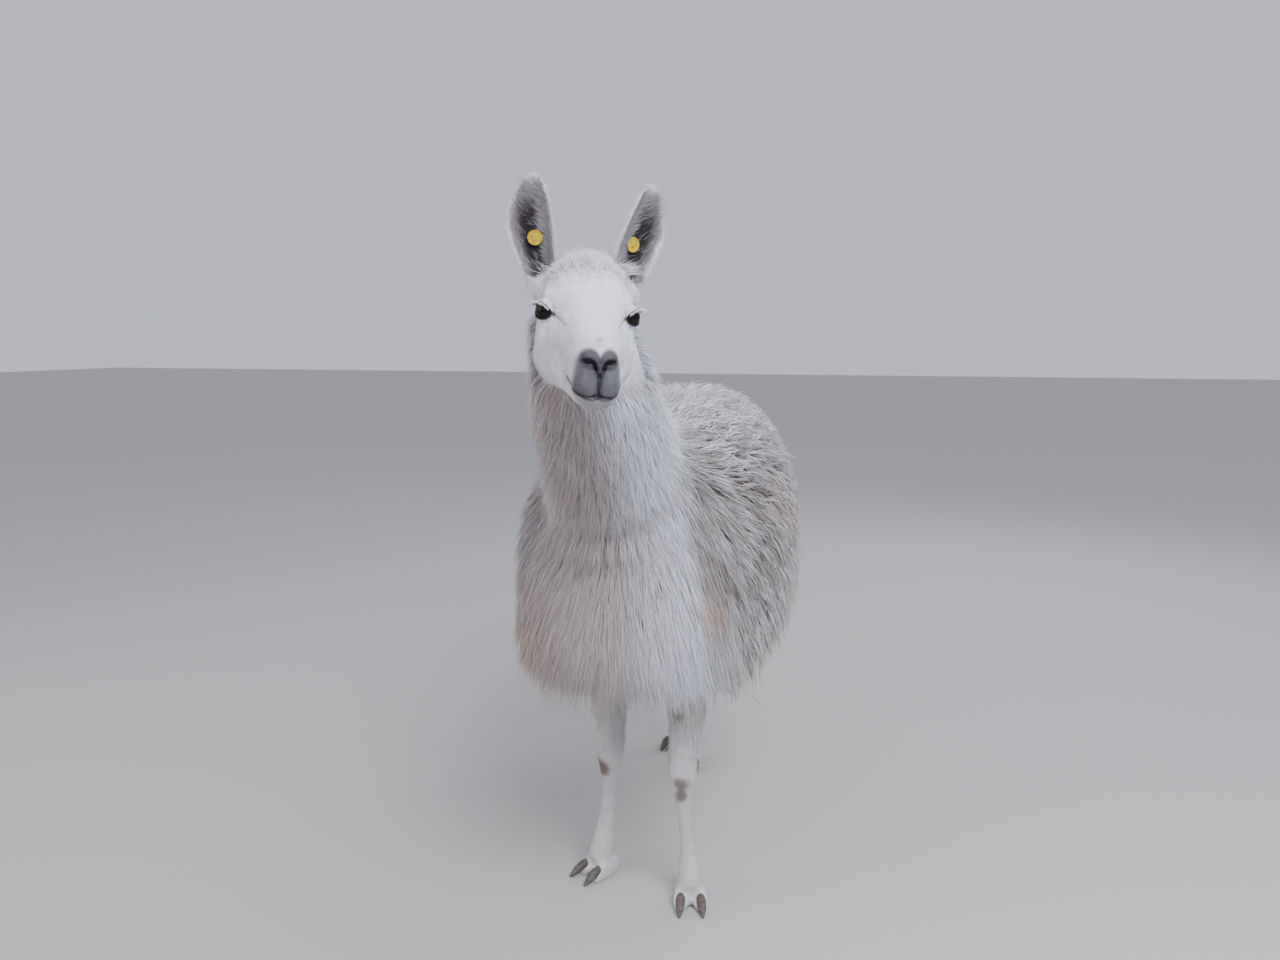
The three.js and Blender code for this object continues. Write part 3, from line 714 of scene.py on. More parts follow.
# Colours of the coat and of what lies bare, as the light they send back
WHITE = np.array([0.61, 0.575, 0.575])
# Painted light: a bright bluish white for what faces the lamps and the sky, the animal's left side of neck
# and chest, and the back
SKY_LIT_WHITE = np.array([0.80, 0.82, 0.90])
FACE_WHITE = np.array([0.855, 0.855, 0.90])
# Painted shade: a warm pinkish brown for the shaded throat under the chin, and the shaded middle and right
# side of the chest
WARM_SHADE = np.array([0.47, 0.395, 0.375])
FRONT_UNDERCOAT = np.array([0.66, 0.60, 0.585])
FLANK = np.array([0.55, 0.515, 0.525])
UNDERCOAT = np.array([0.26, 0.215, 0.20])
PALE_UNDERCOAT = np.array([0.56, 0.50, 0.45])
# A rusty tint of the wool, and on the breast a painted warm cast of light
RUST_AND_WARM_LIGHT = np.array([0.67, 0.50, 0.43])
TAN = np.array([0.60, 0.41, 0.32])
BROWN = np.array([0.155, 0.110, 0.088])
NOSE_GREY = np.array([0.050, 0.046, 0.058])
LIP_GREY = np.array([0.058, 0.055, 0.070])
LIP_HAIR = np.array([0.062, 0.058, 0.074])
LIP_PALE = np.array([0.22, 0.21, 0.25])
# Dark bare skin of the lid margins, and painted shade in the face's creases
DARK_SKIN_AND_CREASE_SHADE = np.array([0.012, 0.010, 0.012])
EAR_DARK = np.array([0.026, 0.019, 0.023])
EAR_GREY = np.array([0.24, 0.215, 0.225])
# Each mark: its middle, how far it reaches across, along and up, its colour and its strength
MARKS = {
    "shoulder": ((0.207, -0.380, 0.735), (0.024, 0.060, 0.048), TAN, 0.75),
    "elbow": ((0.200, -0.385, 0.815), (0.022, 0.050, 0.030), BROWN, 0.55),
    # Painted light: the two breast marks paint a warm pink cast of light on the chest's right side
    "breast": ((-0.235, -0.330, 0.690), (0.060, 0.080, 0.110), RUST_AND_WARM_LIGHT, 0.70),
    "breast low": ((-0.200, -0.370, 0.600), (0.060, 0.080, 0.090), RUST_AND_WARM_LIGHT, 0.35),
    "loin": ((0.300, 0.10, 0.88), (0.05, 0.09, 0.07), RUST_AND_WARM_LIGHT, 0.45),
    "rump": ((-0.20, 0.62, 0.95), (0.07, 0.10, 0.09), RUST_AND_WARM_LIGHT, 0.45),
    "right side": ((-0.31, 0.15, 0.82), (0.05, 0.12, 0.09), RUST_AND_WARM_LIGHT, 0.45),
    "left knee": ((0.113, -0.240, 0.302), (0.020, 0.024, 0.020), BROWN, 0.85),
    "left shin": ((0.112, -0.238, 0.278), (0.014, 0.022, 0.018), BROWN, 0.80),
    "right knee": ((-0.106, -0.150, 0.284), (0.022, 0.028, 0.026), BROWN, 0.90),
    "forearm": ((0.101, -0.232, 0.463), (0.018, 0.030, 0.016), BROWN, 1.0),
}


def blotches(points, size, seed):
    """Soft blotches of about a size, from -1 to 1."""
    draw = np.random.default_rng(seed)
    waves = draw.normal(size=(3, 14)) / size
    return np.clip(np.sin(points @ waves + draw.uniform(0, 6.3, 14)).sum(axis=1) / 3.7, -1, 1)


def blend(colours, share, other):
    share = np.clip(share, 0, 1)[:, None]
    return colours * (1 - share) + other * share


def regions(points, normals):
    """Shares of neck, front of the chest, back, tail, head and legs in each point."""
    x, y, z = points.T
    rows = on_head(points)
    head_share = ease(rows[:, 0] - 0.35 * rows[:, 2], -112, -78) * ease(rows[:, 2], -150, -120)
    reach = np.linalg.norm(rows[:, 1:], axis=1)
    head_share = head_share * (1 - ease(reach, 240, 260)) * ease(z, 1.10, 1.16)
    head_share = head_share * (1 - ease(-rows[:, 0], 42, 72) * ease(-rows[:, 2], -20, 20))
    tail = ease(y, TAIL_ROOT - 0.02, TAIL_ROOT + 0.02)
    legs_share = 1 - ease(z, 0.40, 0.50)
    neck = ease(up_the_neck(points), 0.17, 0.29) * (1 - head_share)
    chest = ease(-normals[:, 1], 0.15, 0.60) * ease(-y, 0.20, 0.34) * (1 - neck)
    back = ease(normals[:, 2], 0.30, 0.75) * (1 - neck) * (1 - chest)
    return {"head": head_share, "neck": neck, "chest": chest, "back": back, "tail": tail,
            "legs": legs_share}


def flank_shade(points, shares):
    """How much the darker undercoat shows: most behind the shoulder, least on neck and chest."""
    x, y, z = points.T
    bib = 0.150 + 0.05 * ease(-z, -0.95, -0.75) - 0.055 * ease(z, 0.98, 1.12)
    beyond = ease(np.abs(x), bib - 0.012, bib + 0.020)
    shade = beyond * (1 - 0.9 * ease(shares["neck"], 0.45, 1.0)) * (0.45 + 0.55 * ease(z, 0.55, 0.85))
    shade = np.maximum(shade, 0.72 * shares["back"])
    return shade * (1 - 0.35 * ease(y, -0.05, 0.45)) * (1 - shares["head"]) * (1 - shares["legs"])


def coat_colours(points, normals):
    """Colour of the hair's tips, and of the hair near the skin, for points on the hide."""
    x, y, z = points.T
    shares = regions(points, normals)
    shade = flank_shade(points, shares)
    rows = on_head(points)
    tips = np.tile(WHITE, (len(points), 1))
    # Painted light: neck and chest whiter and bluer on the animal's left, the side turned to the lamps
    tips = blend(tips, 0.95 * ease(x, 0.0, 0.10) * np.maximum(shares["neck"], shares["chest"]), SKY_LIT_WHITE)
    # Painted shade: warm shade on the front of the throat, down the chest's right side and over its lower
    # middle
    throat = shares["neck"] * ease(-normals[:, 1], 0.35, 0.8) * hump(x, -0.035, 0.085)
    tips = blend(tips, 0.95 * throat * (0.8 + 0.4 * blotches(points, 0.05, 3)), WARM_SHADE)
    tips = blend(tips, 0.85 * shares["chest"] * ease(-x, -0.06, 0.12) * ease(-z, -0.95, -0.70), WARM_SHADE)
    tips = blend(tips, 0.70 * shares["chest"] * (1 - ease(z, 0.84, 0.98)) * hump(x, -0.02, 0.16), WARM_SHADE)
    tips = blend(tips, shade * (1 - 0.85 * shares["back"]), FLANK)
    # Painted light: the back, which faces the sky, whiter and bluer
    tips = blend(tips, 0.6 * shares["back"], SKY_LIT_WHITE)
    roots = blend(np.tile(PALE_UNDERCOAT, (len(points), 1)), shade * 1.2, UNDERCOAT)
    roots = blend(roots, 0.6 * shares["back"], UNDERCOAT)
    front = np.maximum(shares["neck"], shares["chest"]) * (1 - ease(shade, 0.3, 0.8))
    roots = blend(roots, front, FRONT_UNDERCOAT)
    # Painted light: the roots on the lit left side of neck and chest are pale and bluish too
    roots = blend(roots, front * ease(x, -0.02, 0.11), 0.94 * SKY_LIT_WHITE)
    for centre, spread, colour, strength in MARKS.values():
        away = (points - centre) / spread
        mark = ease(1.5 - np.linalg.norm(away, axis=1) + 0.35 * blotches(points, 0.012, 7), 0.1, 1.0)
        tips = blend(tips, strength * mark, colour)
        roots = blend(roots, 0.6 * strength * mark, colour)
    short = np.maximum(shares["head"], shares["legs"])
    roots = roots * (1 - short[:, None]) + 0.86 * tips * short[:, None]
    face = np.clip(shares["head"], 0, 1)
    tips = blend(tips, face, FACE_WHITE)
    flecks = hump(rows[:, 0], -26, 40) * ease(rows[:, 2], 54, 68) * hump(rows[:, 1], 5, 26)
    tips = blend(tips, 0.90 * face * flecks * ease(blotches(points, 0.006, 9), -0.1, 0.4), BROWN)
    # Painted shade: the lower face and its right side greyer, the side turned away from the lamps
    low_face_shade = face * (0.25 + 0.75 * ease(-rows[:, 2], -10, 60)) * (1 - 0.8 * ease(rows[:, 1], 0, 50))
    tips = blend(tips, 0.45 * low_face_shade * (0.7 + 0.6 * blotches(points, 0.014, 15)), FLANK)
    tips = tips * (1 - 0.03 * shares["legs"])[:, None]
    return tips, roots


def dark_lines(rows):
    """How far the face is dark: bare dark skin at the lid margins, and painted shade in the creases of
    nostrils, mouth and eye corners and over the upper lid, where the hair is also thin or gone.
    """
    mirrored = np.column_stack([rows[:, 0], np.abs(rows[:, 1]), rows[:, 2]])
    dark = np.zeros(len(rows))
    for name, seen_from, line, spread, _ in FEATURES:
        if name in CREASE_SHADE:
            wide, strength = CREASE_SHADE[name]
            dark = np.maximum(dark, strength * np.sqrt(near_line(mirrored, line, spread * wide, seen_from)))
    lid, reach, slant = lid_line(mirrored)
    margin = (1 - ease(lid, 1.8, 3.4)) * (1 - ease(reach, 24, 27))
    # Painted shade: a dark line in the crease over the upper lid
    fold = 0.75 * hump(lid, 7.0, 1.0) * ease(slant, 5, 18) * (1 - ease(reach, 27, 32))
    return np.maximum.reduce([dark, margin, fold]), mirrored


# How wide and how dark the painted shade in the creases of the face is, against the width that they're
# pressed in
CREASE_SHADE = {
    "nostril": (0.80, 1.0),
    "nostril tail": (0.6, 0.8),
    "lip cleft": (0.7, 0.75),
    "mouth middle": (0.7, 0.9),
    "mouth": (0.9, 0.9),
    "mouth side": (0.8, 0.85),
    "eye corner": (0.9, 1.0),
    "tear line": (0.7, 0.42),
}
face_rows = on_head(skin_at)
by_face = np.flatnonzero((face_rows[:, 0] > -135) & (face_rows[:, 2] > -150)
                         & (np.linalg.norm(face_rows, axis=1) < 285))
face_rows = face_rows[by_face]
face_facing = skin_facing[by_face] @ HEAD_AXES.T
dark, mirrored = dark_lines(face_rows)
ahead, half, up = mirrored.T

# Ears: how far each corner is on one, its share of the length, its place across and its side
ear_share = np.zeros(len(skin_at))
ear_run = np.zeros(len(skin_at))
ear_across = np.zeros(len(skin_at))
ear_inside = np.zeros(len(skin_at))
on_ear = ease(gap_to(head_tree, skin_at[by_face]) - gap_to(ear_tree, skin_at[by_face]), -0.002, 0.004)
for ear in EARS.values():
    run, across = ear.shares(face_rows)
    mine = np.sign(face_rows[:, 1]) == np.sign(ear.root[1])
    share = on_ear * mine * ease(run, -0.03, 0.06)
    chosen = by_face[mine]
    ear_share[chosen] = share[mine]
    ear_run[chosen] = run[mine]
    ear_across[chosen] = across[mine]
    ear_inside[chosen] = ease(face_facing @ ear.opening, 0.0, 0.35)[mine]
rim = np.maximum(ease(np.abs(ear_across), 0.78, 0.92), ease(ear_run, 0.86, 0.94)) * ear_share
rim *= ease(ear_run, 0.10, 0.22)
ear_dark = ear_share * ear_inside * (1 - rim) * ease(ear_run, 0.02, 0.12)
ear_pale = np.maximum(ease(np.abs(ear_across), 0.30, 0.85), ease(ear_run, 0.6, 0.9))
ear_colours = blend(np.tile(EAR_DARK, (len(skin_at), 1)), 0.85 * ear_pale, EAR_GREY)

tip_colours, root_colours = coat_colours(skin_at, skin_facing)
mark = np.zeros((4, len(by_face)))
speck = blotches(skin_at[by_face], 0.006, 21)
lobes = np.hypot(half - 14, (up + 42) * 1.05)
bridge = hump(half, 0, 12) * ease(up, -66, -60) * (1 - ease(up, -38, -33))
pad = np.maximum(1 - ease(lobes, 12.5, 19), bridge)
lips = ease(ahead, 184, 224) * (1 - ease(up, -46, -34)) * ease(up, -104, -96)
chin = 0.45 * ease(ahead, 194, 220) * (1 - ease(up, -104, -96))
mark[0] = np.maximum(lips * (0.90 + 0.06 * hump(half, 0, 9) + 0.025 * speck), chin)
mark[1] = 0.95 * pad * ease(ahead, 196, 210)
mark[2] = 0.35 * ease(ahead, 172, 214) * hump(half, 0, 15) * ease(up, -36, -27) * (1 + 0.7 * speck)
# Painted shade in the creases, with the dark bare lid margins
mark[3] = dark
for share, colour in zip(mark, (LIP_GREY, NOSE_GREY, LIP_GREY, DARK_SKIN_AND_CREASE_SHADE)):
    tip_colours[by_face] = blend(tip_colours[by_face], share, colour)
    root_colours[by_face] = blend(root_colours[by_face], share, colour)
hair_colours = tip_colours.copy()
hair_colours[by_face] = blend(hair_colours[by_face], 0.8 * mark[0] * (1 - dark), LIP_HAIR)
bare_share = np.zeros(len(skin_at))
bare_share[by_face] = np.maximum(mark[1] / 0.95, ease(dark, 0.35, 0.7))
tip_colours = blend(tip_colours, ear_dark, ear_colours)
hair_colours = blend(hair_colours, ear_dark, ear_colours)
root_colours = blend(root_colours, ear_dark, ear_colours)
skin_shares = regions(skin_at, skin_facing)
long_share = (1 - np.maximum(skin_shares["head"], skin_shares["legs"])) * (1 - ear_share)


def keep(piece, name, kind, rows):
    """Keeps values at a piece's corners under a name, as colours or as directions."""
    if kind == "FLOAT_COLOR":
        rows = np.column_stack([rows, np.ones(len(rows))])
        piece.data.color_attributes.new(name, kind, "POINT").data.foreach_set("color", rows.ravel())
    else:
        piece.data.attributes.new(name, kind, "POINT").data.foreach_set("vector", rows.ravel())


keep(skin, "coat", "FLOAT_COLOR", blend(tip_colours, long_share, root_colours))
hide = Finish("hide", Roughness=0.72, Specular_IOR_Level=0.25)
coat = hide.node("Attribute", {"attribute_name": "coat"})
at = hide.node("TexCoord", None, None, out=3)
fine = hide.node("TexNoise", None, {"Vector": at, "Scale": 900.0, "Detail": 3.0})
patch = hide.node("TexNoise", None, {"Vector": at, "Scale": 45.0, "Detail": 3.0})
tone = hide.node("ValToRGB", {"stops": [
    (0.3, (0.80, 0.80, 0.80)), (0.7, (1.06, 1.06, 1.06))]}, {"Fac": fine})
shaded = hide.mix(0.85, coat, tone, "MULTIPLY")
tone = hide.node("ValToRGB", {"stops": [
    (0.35, (0.92, 0.91, 0.90)), (0.65, (1.03, 1.03, 1.03))]}, {"Fac": patch})
hide.feed("Base Color", hide.mix(1.0, shaded, tone, "MULTIPLY"))
hide.bump(fine + 0.4 * patch, 0.55, 0.0016)
hide.wear(skin)
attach(skin, "root")
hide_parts(*[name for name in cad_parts
                    if not name.startswith("eye") and "tag" not in name and "nail" not in name])

# ---------------------------------------------------------------------------------------------
# Eyes. Large dark balls, each held deep in its socket by the rims of the lids: a brown iris with a
# wide level pupil behind a clear wet front that bulges a little.
# Half the width and half the height of the pupil against the ball, and the front's bulge in mm
PUPIL = (0.42, 0.17)
CORNEA = 0.7
wet = Finish("eye", Roughness=0.12, Specular_IOR_Level=0.15, IOR=1.33,
             Coat_Weight=0.22, Coat_Roughness=0.02)
look = wet.node("Attribute", {"attribute_name": "look"}, None, out=1)
parts = wet.node("SeparateXYZ", None, {"Vector": look})
level_part = Shade(parts.socket.node.outputs[0])
upright_part = Shade(parts.socket.node.outputs[1])
wide = level_part * (1 / PUPIL[0])
tall = upright_part * (1 / PUPIL[1])
in_pupil = wide.maths("LESS_THAN", wide * wide + tall * tall, 1.0)
from_axis = level_part * level_part + upright_part * upright_part
iris = wet.node("ValToRGB", {"stops": [
    (0.0, (0.006, 0.004, 0.003)), (0.40, (0.014, 0.008, 0.005)), (0.56, (0.006, 0.004, 0.003)),
    (0.70, (0.010, 0.008, 0.007))]}, {"Fac": from_axis})
wet.feed("Base Color", wet.mix(in_pupil, iris, (0.002, 0.002, 0.003, 1)))
for side, out in SIDES.items():
    bpy.ops.object.select_all(action="DESELECT")
    bpy.ops.mesh.primitive_uv_sphere_add(segments=48, ring_count=32, radius=EYE_RADIUS * MM)
    ball = bpy.context.object
    ball.name = f"eyeball_{side}"
    rows = places(ball)
    seen = unit(rows)
    gaze = np.array([math.cos(GAZE), out * math.sin(GAZE), 0])
    across = np.array([-math.sin(GAZE) * out, math.cos(GAZE), 0])
    turned = np.array([across, np.cross(gaze, across), gaze])
    rows = rows * (1 + CORNEA / EYE_RADIUS * ease(seen[:, 2], 0.72, 0.95))[:, None]
    put(ball, middle_of(f"eye_{side}") + rows @ turned @ HEAD_AXES)
    keep(ball, "look", "FLOAT_VECTOR", seen)
    bpy.ops.object.shade_smooth()
    wet.wear(ball)
    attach(ball, "root")
    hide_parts(f"eye_{side}")

# ---------------------------------------------------------------------------------------------
# Ear tags. Two round yellow plastic halves a side, clipped together through the ear by a stem:
# a flat disc with a raised rim and a boss in front, and the same behind.
TAG_RADIUS = 13 * MM
TAG_THICK = 2.4 * MM
TAG_RIM = 1.6 * MM
TAG_BOSS = 4.2 * MM
TAG_STEM = 3.0 * MM
plastic = Finish("tag_plastic", Roughness=0.38, Specular_IOR_Level=0.4)
at = plastic.node("TexCoord", None, None, out=3)
grime = plastic.node("TexNoise", None, {"Vector": at, "Scale": 220.0, "Detail": 4.0})
plastic.feed("Base Color", plastic.node("ValToRGB", {"stops": [
    (0.35, (0.42, 0.26, 0.012)), (0.7, (0.72, 0.47, 0.020))]}, {"Fac": grime}))
plastic.bump(grime, 0.15, 0.0004)
for side, out in SIDES.items():
    ear = EARS[side]
    rows = on_head(places(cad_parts[f"ear_tag_{side}"]))
    depth = rows @ ear.opening
    ear_axes = np.array([ear.across, np.cross(ear.opening, ear.across), ear.opening])
    halves = []
    for facing, level_of in ((1, depth.max()), (-1, depth.min())):
        face_at = rows[np.abs(depth - level_of) < 0.3].mean(axis=0)
        bpy.ops.object.select_all(action="DESELECT")
        bpy.ops.mesh.primitive_cylinder_add(vertices=44, radius=TAG_RADIUS, depth=TAG_THICK,
                                            location=(0, 0, -TAG_THICK / 2))
        disc = bpy.context.object
        bpy.ops.object.transform_apply()
        bpy.ops.object.mode_set(mode="EDIT")
        bpy.ops.mesh.select_mode(type="FACE")
        bpy.ops.mesh.select_all(action="DESELECT")
        bpy.ops.object.mode_set(mode="OBJECT")
        for face in disc.data.polygons:
            face.select = face.normal.z > 0.9
        bpy.ops.object.mode_set(mode="EDIT")
        bpy.ops.mesh.inset(thickness=TAG_RIM)
        bpy.ops.transform.translate(value=(0, 0, -0.6 * MM))
        bpy.ops.mesh.inset(thickness=TAG_RADIUS - TAG_RIM - TAG_BOSS)
        bpy.ops.mesh.extrude_region_move(TRANSFORM_OT_translate={"value": (0, 0, 1.0 * MM)})
        bpy.ops.object.mode_set(mode="OBJECT")
        modify(disc, "BEVEL", width=0.3 * MM, segments=2, limit_method="ANGLE")
        axes = ear_axes * [[1], [facing], [facing]]
        put(disc, off_head(face_at + places(disc) / MM @ axes))
        halves.append((disc, face_at))
    (front, front_at), (back, back_at) = halves
    bpy.ops.object.select_all(action="DESELECT")
    bpy.ops.mesh.primitive_cylinder_add(vertices=24, radius=TAG_STEM, depth=1)
    stem = bpy.context.object
    rows = places(stem)
    middle = (front_at + back_at) / 2
    stem_run = np.linalg.norm(front_at - back_at) - 2.0
    put(stem, off_head(middle + (rows * [1 / MM, 1 / MM, stem_run]) @ ear_axes))
    tag = join([front, back, stem], f"tag_{side}")
    alone(tag)
    bpy.ops.object.shade_smooth_by_angle(angle=math.radians(35))
    plastic.wear(tag)
    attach(tag, "root")
    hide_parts(f"ear_tag_{side}")

# ---------------------------------------------------------------------------------------------
# Nails. Two a foot, of dark horn with growth rings, short and blunt. Each grows from the end of a
# toe, over its soft sole.
horn = Finish("nail_horn", Roughness=0.55, Specular_IOR_Level=0.35)
at = horn.node("TexCoord", None, None, out=3)
stretch = horn.node("Mapping", None, {"Vector": at, "Scale": (60.0, 60.0, 700.0)})
rings = horn.node("TexNoise", None, {"Vector": stretch, "Scale": 1.0, "Detail": 3.0})
horn.feed("Base Color", horn.node("ValToRGB", {"stops": [
    (0.3, (0.045, 0.038, 0.034)), (0.7, (0.16, 0.135, 0.115))]}, {"Fac": rings}))
horn.bump(rings, 0.5, 0.0012)
for pair in THIGHS:
    for side in SIDES:
        nodes = [f"{pair}_{side}_nail_{place}" for place in ("inner", "outer")]
        nails = flesh_copy(nodes, f"{pair}_{side}_nails")
        modify(nails, "SUBSURF", levels=2, subdivision_type="CATMULL_CLARK")
        bpy.ops.object.shade_smooth()
        horn.wear(nails)
        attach(nails, "root")
        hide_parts(*nodes)

# ---------------------------------------------------------------------------------------------
# The lie of the coat. Back and down along the sides, straight down on chest and throat, out to
# both sides from the back line, from the nose to the poll on the face and down on the legs.


def way(across, back, up):
    """Directions from three parts, each a number or a value for every point."""
    return unit(np.column_stack(np.broadcast_arrays(across, back, up)))


def lie_of(points, normals):
    """The way that the hair lies at points of the hide."""
    x, y, z = points.T
    out = np.tanh(x / 0.03)
    facing_up = normals[:, 2]
    shares = regions(points, normals)
    lie = way(out * (0.25 + 0.35 * ease(facing_up, 0.6, 1)), 0.95 * ease(z, 0.55, 1.0) + 0.15,
              -(1.05 - 0.85 * ease(z, 0.80, 1.12)))
    lie = blend(lie, ease(y, 0.52, 0.74), way(0.12 * out, 0.18, -1))
    lie = blend(lie, ease(-facing_up, 0.35, 0.75), way(0, 0.05, -1))
    lie = blend(lie, shares["chest"], way(0.20 * out, 0.04, -1))
    front = normals @ NECK_FRONT
    neck = blend(way(0.15 * out, 0.30, -0.95), ease(front, 0.3, 0.8), way(0.26 * out, 0.0, -1))
    neck = blend(neck, ease(-front, 0.4, 0.9), way(0.35 * out, -NECK_RUN[1], -NECK_RUN[2]))
    lie = blend(lie, shares["neck"], neck)
    lie = blend(lie, shares["tail"], way(0, 0.10, -1))
    lie = blend(lie, shares["legs"], way(0, 0.12, -1))
    rows = on_head(points)
    side = np.tanh(rows[:, 1] / 8)
    to_front = ease(normals @ HEAD_AXES[0], 0.45, 0.85) * ease(rows[:, 0], 185, 215)
    cheeks = ease(-rows[:, 2], 0, 60)
    face = way(-1, 0.12 * side, 0.25 - 0.65 * cheeks)
    face = blend(face, to_front, way(-0.1, 0.55 * side, -0.85))
    face = blend(face, ease(-rows[:, 0], 40, 80) * cheeks, way(-0.25, 0.40 * side, -1))
    lie = blend(lie, shares["head"], face @ HEAD_AXES)
    inward = np.minimum((lie * normals).sum(axis=1), 0)
    return unit(lie - inward[:, None] * normals)


skin_lie = lie_of(skin_at, skin_facing)
for ear in EARS.values():
    mine = ear_share * (np.sign(on_head(skin_at)[:, 1]) == np.sign(ear.root[1]))
    outer = np.sign(ear_across)[:, None] * ear.across
    inside = unit(0.55 * ear.along - 0.2 * outer + 0.6 * ear.across)
    edge = unit(0.75 * outer + ear.along + 0.25 * ear.opening)
    lie = unit(ear.along + 0.22 * outer) * (1 - ear_inside[:, None]) + inside * ear_inside[:, None]
    lie = blend(lie, rim, edge)
    skin_lie = unit(blend(skin_lie, mine, lie @ HEAD_AXES))
first, second, third = skin_at[skin_faces].transpose(1, 0, 2)
skin_areas = np.linalg.norm(np.cross(second - first, third - first), axis=1) / 2
face_lie = unit(skin_lie[skin_faces].mean(axis=1))
# A lock's patch of the unwrapped hide, and the most triangles in one piece
PATCH = 0.003
MOST_TRIANGLES = 198000
# How far the shading of a lock follows the hide under it, and how round it looks across
SOFTNESS = 1.3
ROUNDNESS = 0.45


def scatter(density, count, seed):
    """Roots of hair, as triangles of the hide and places in them, more where the density is high."""
    draw = np.random.default_rng(seed)
    weight = skin_areas * density[skin_faces].mean(axis=1)
    faces = draw.choice(len(skin_faces), count, p=weight / weight.sum())
    first, second = draw.random((2, count))
    folded = first + second > 1
    first, second = np.where(folded, 1 - first, first), np.where(folded, 1 - second, second)
    return faces, np.column_stack([1 - first - second, first, second])


def over(values, roots):
    """Values of the hide's corners, at roots."""
    faces, inside = roots
    return np.einsum("nk,nk...->n...", inside, values[skin_faces[faces]])


def weave(name, finish, paths, facings, halves, colours, roots, crest=0.6):
    """Pointed closed locks along paths, as pieces. A lock has a flat back and a ridge on top."""
    count, rings = paths.shape[0], paths.shape[1] - 1
    growth = unit(np.gradient(paths, axis=1))
    side = unit(np.cross(growth, facings))
    top = np.cross(side, growth)
    soft = unit(top + SOFTNESS * facings)
    side, half, spine = side[:, :rings], halves[:, :rings, None], paths[:, :rings]
    ridge = spine + crest * top[:, :rings] * half
    rows = np.stack([spine - side * half, ridge, spine + side * half], axis=2)
    rows = np.concatenate([rows.reshape(count, rings * 3, 3), paths[:, rings:]], axis=1)
    round_off = ROUNDNESS * side
    shading = np.stack([soft[:, :rings] - round_off, soft[:, :rings], soft[:, :rings] + round_off], axis=2)
    shading = unit(np.concatenate([shading.reshape(count, rings * 3, 3), soft[:, rings:]], axis=1))
    tones = np.concatenate([np.repeat(colours[:, :rings], 3, axis=1), colours[:, rings:]], axis=1)
    tip = rings * 3
    faces = [(0, 2, 1)]
    for ring in range(0, tip - 3, 3):
        for first, second in ((0, 1), (1, 2), (2, 0)):
            faces.append((ring + first, ring + second, ring + 3 + second, ring + 3 + first))
    faces += [(tip - 3, tip - 2, tip), (tip - 2, tip - 1, tip), (tip - 1, tip - 3, tip)]
    loops = np.array([corner for face in faces for corner in face])
    # The first face closes the root, and a face with no corner on the ridge is the flat back
    behind = [face == faces[0] or all(corner % 3 != 1 for corner in face) for face in faces]
    turned = np.array([-1.0 if back else 1.0 for face, back in zip(faces, behind) for _ in face])
    starts = np.cumsum([0] + [len(face) for face in faces])[:-1]
    across = np.append(np.tile([0, 0.5, 1.0], rings), 0.5)
    along = np.append(np.repeat(np.arange(rings) / rings, 3), 1.0)
    unwrap = np.einsum("nk,nkc->nc", roots[1], skin_unwrap[roots[0]])
    triangles = sum(len(face) - 2 for face in faces)
    share = MOST_TRIANGLES // triangles
    draw = np.random.default_rng(len(name) + count)
    chances = draw.random(count)
    for part in range(math.ceil(count / share)):
        chosen = slice(part * share, min(count, (part + 1) * share))
        number = chosen.stop - chosen.start
        mesh = bpy.data.meshes.new(f"{name}_{part + 1}")
        mesh.vertices.add(number * (tip + 1))
        mesh.vertices.foreach_set("co", rows[chosen].ravel())
        mesh.loops.add(number * len(loops))
        first = np.arange(number)[:, None]
        mesh.loops.foreach_set("vertex_index", (first * (tip + 1) + loops).ravel().astype(np.int32))
        mesh.polygons.add(number * len(faces))
        mesh.polygons.foreach_set("loop_start", (first * len(loops) + starts).ravel().astype(np.int32))
        mesh.update(calc_edges=True)
        mesh.shade_smooth()
        bent = shading[chosen][:, loops] * turned[:, None]
        mesh.normals_split_custom_set(bent.reshape(-1, 3).tolist())
        piece = bpy.data.objects.new(f"{name}_{part + 1}", mesh)
        bpy.context.scene.collection.objects.link(piece)
        places_in_patch = PATCH * (np.column_stack([across, along])[loops] - 0.5)
        patches = np.clip(unwrap[chosen, None] + places_in_patch, 0, 1)
        mesh.uv_layers.new(name="OFBake").data.foreach_set("uv", patches.ravel())
        keep(piece, "coat", "FLOAT_COLOR", tones[chosen].reshape(-1, 3))
        strand = np.empty((number, tip + 1, 3))
        strand[:, :, 0] = across
        strand[:, :, 1] = along
        strand[:, :, 2] = chances[chosen, None]
        keep(piece, "strand", "FLOAT_VECTOR", strand.reshape(-1, 3))
        finish.wear(piece)
        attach(piece, "root")


def hair_finish(name, roughness, contrast, relief=0.6):
    """Hair: the colour kept at the corners, with fine lighter and darker strands along it."""
    made = Finish(name, Roughness=roughness, Specular_IOR_Level=0.22,
                  Sheen_Weight=0.25, Sheen_Roughness=0.5)
    coat = made.node("Attribute", {"attribute_name": "coat"})
    strand = made.node("Attribute", {"attribute_name": "strand"}, None, out=1)
    stretch = made.node("Mapping", None, {"Vector": strand, "Scale": (7.0, 1.6, 160.0)})
    fibres = made.node("TexNoise", None, {"Vector": stretch, "Scale": 1.0, "Detail": 2.0})
    low, high = 1 - contrast, 1 + 0.35 * contrast
    tone = made.node("ValToRGB", {"stops": [
        (0.32, (low, low, low)), (0.68, (high, high, high))]}, {"Fac": fibres})
    made.feed("Base Color", made.mix(1.0, coat, tone, "MULTIPLY"))
    made.bump(fibres, relief, 0.0008)
    return made


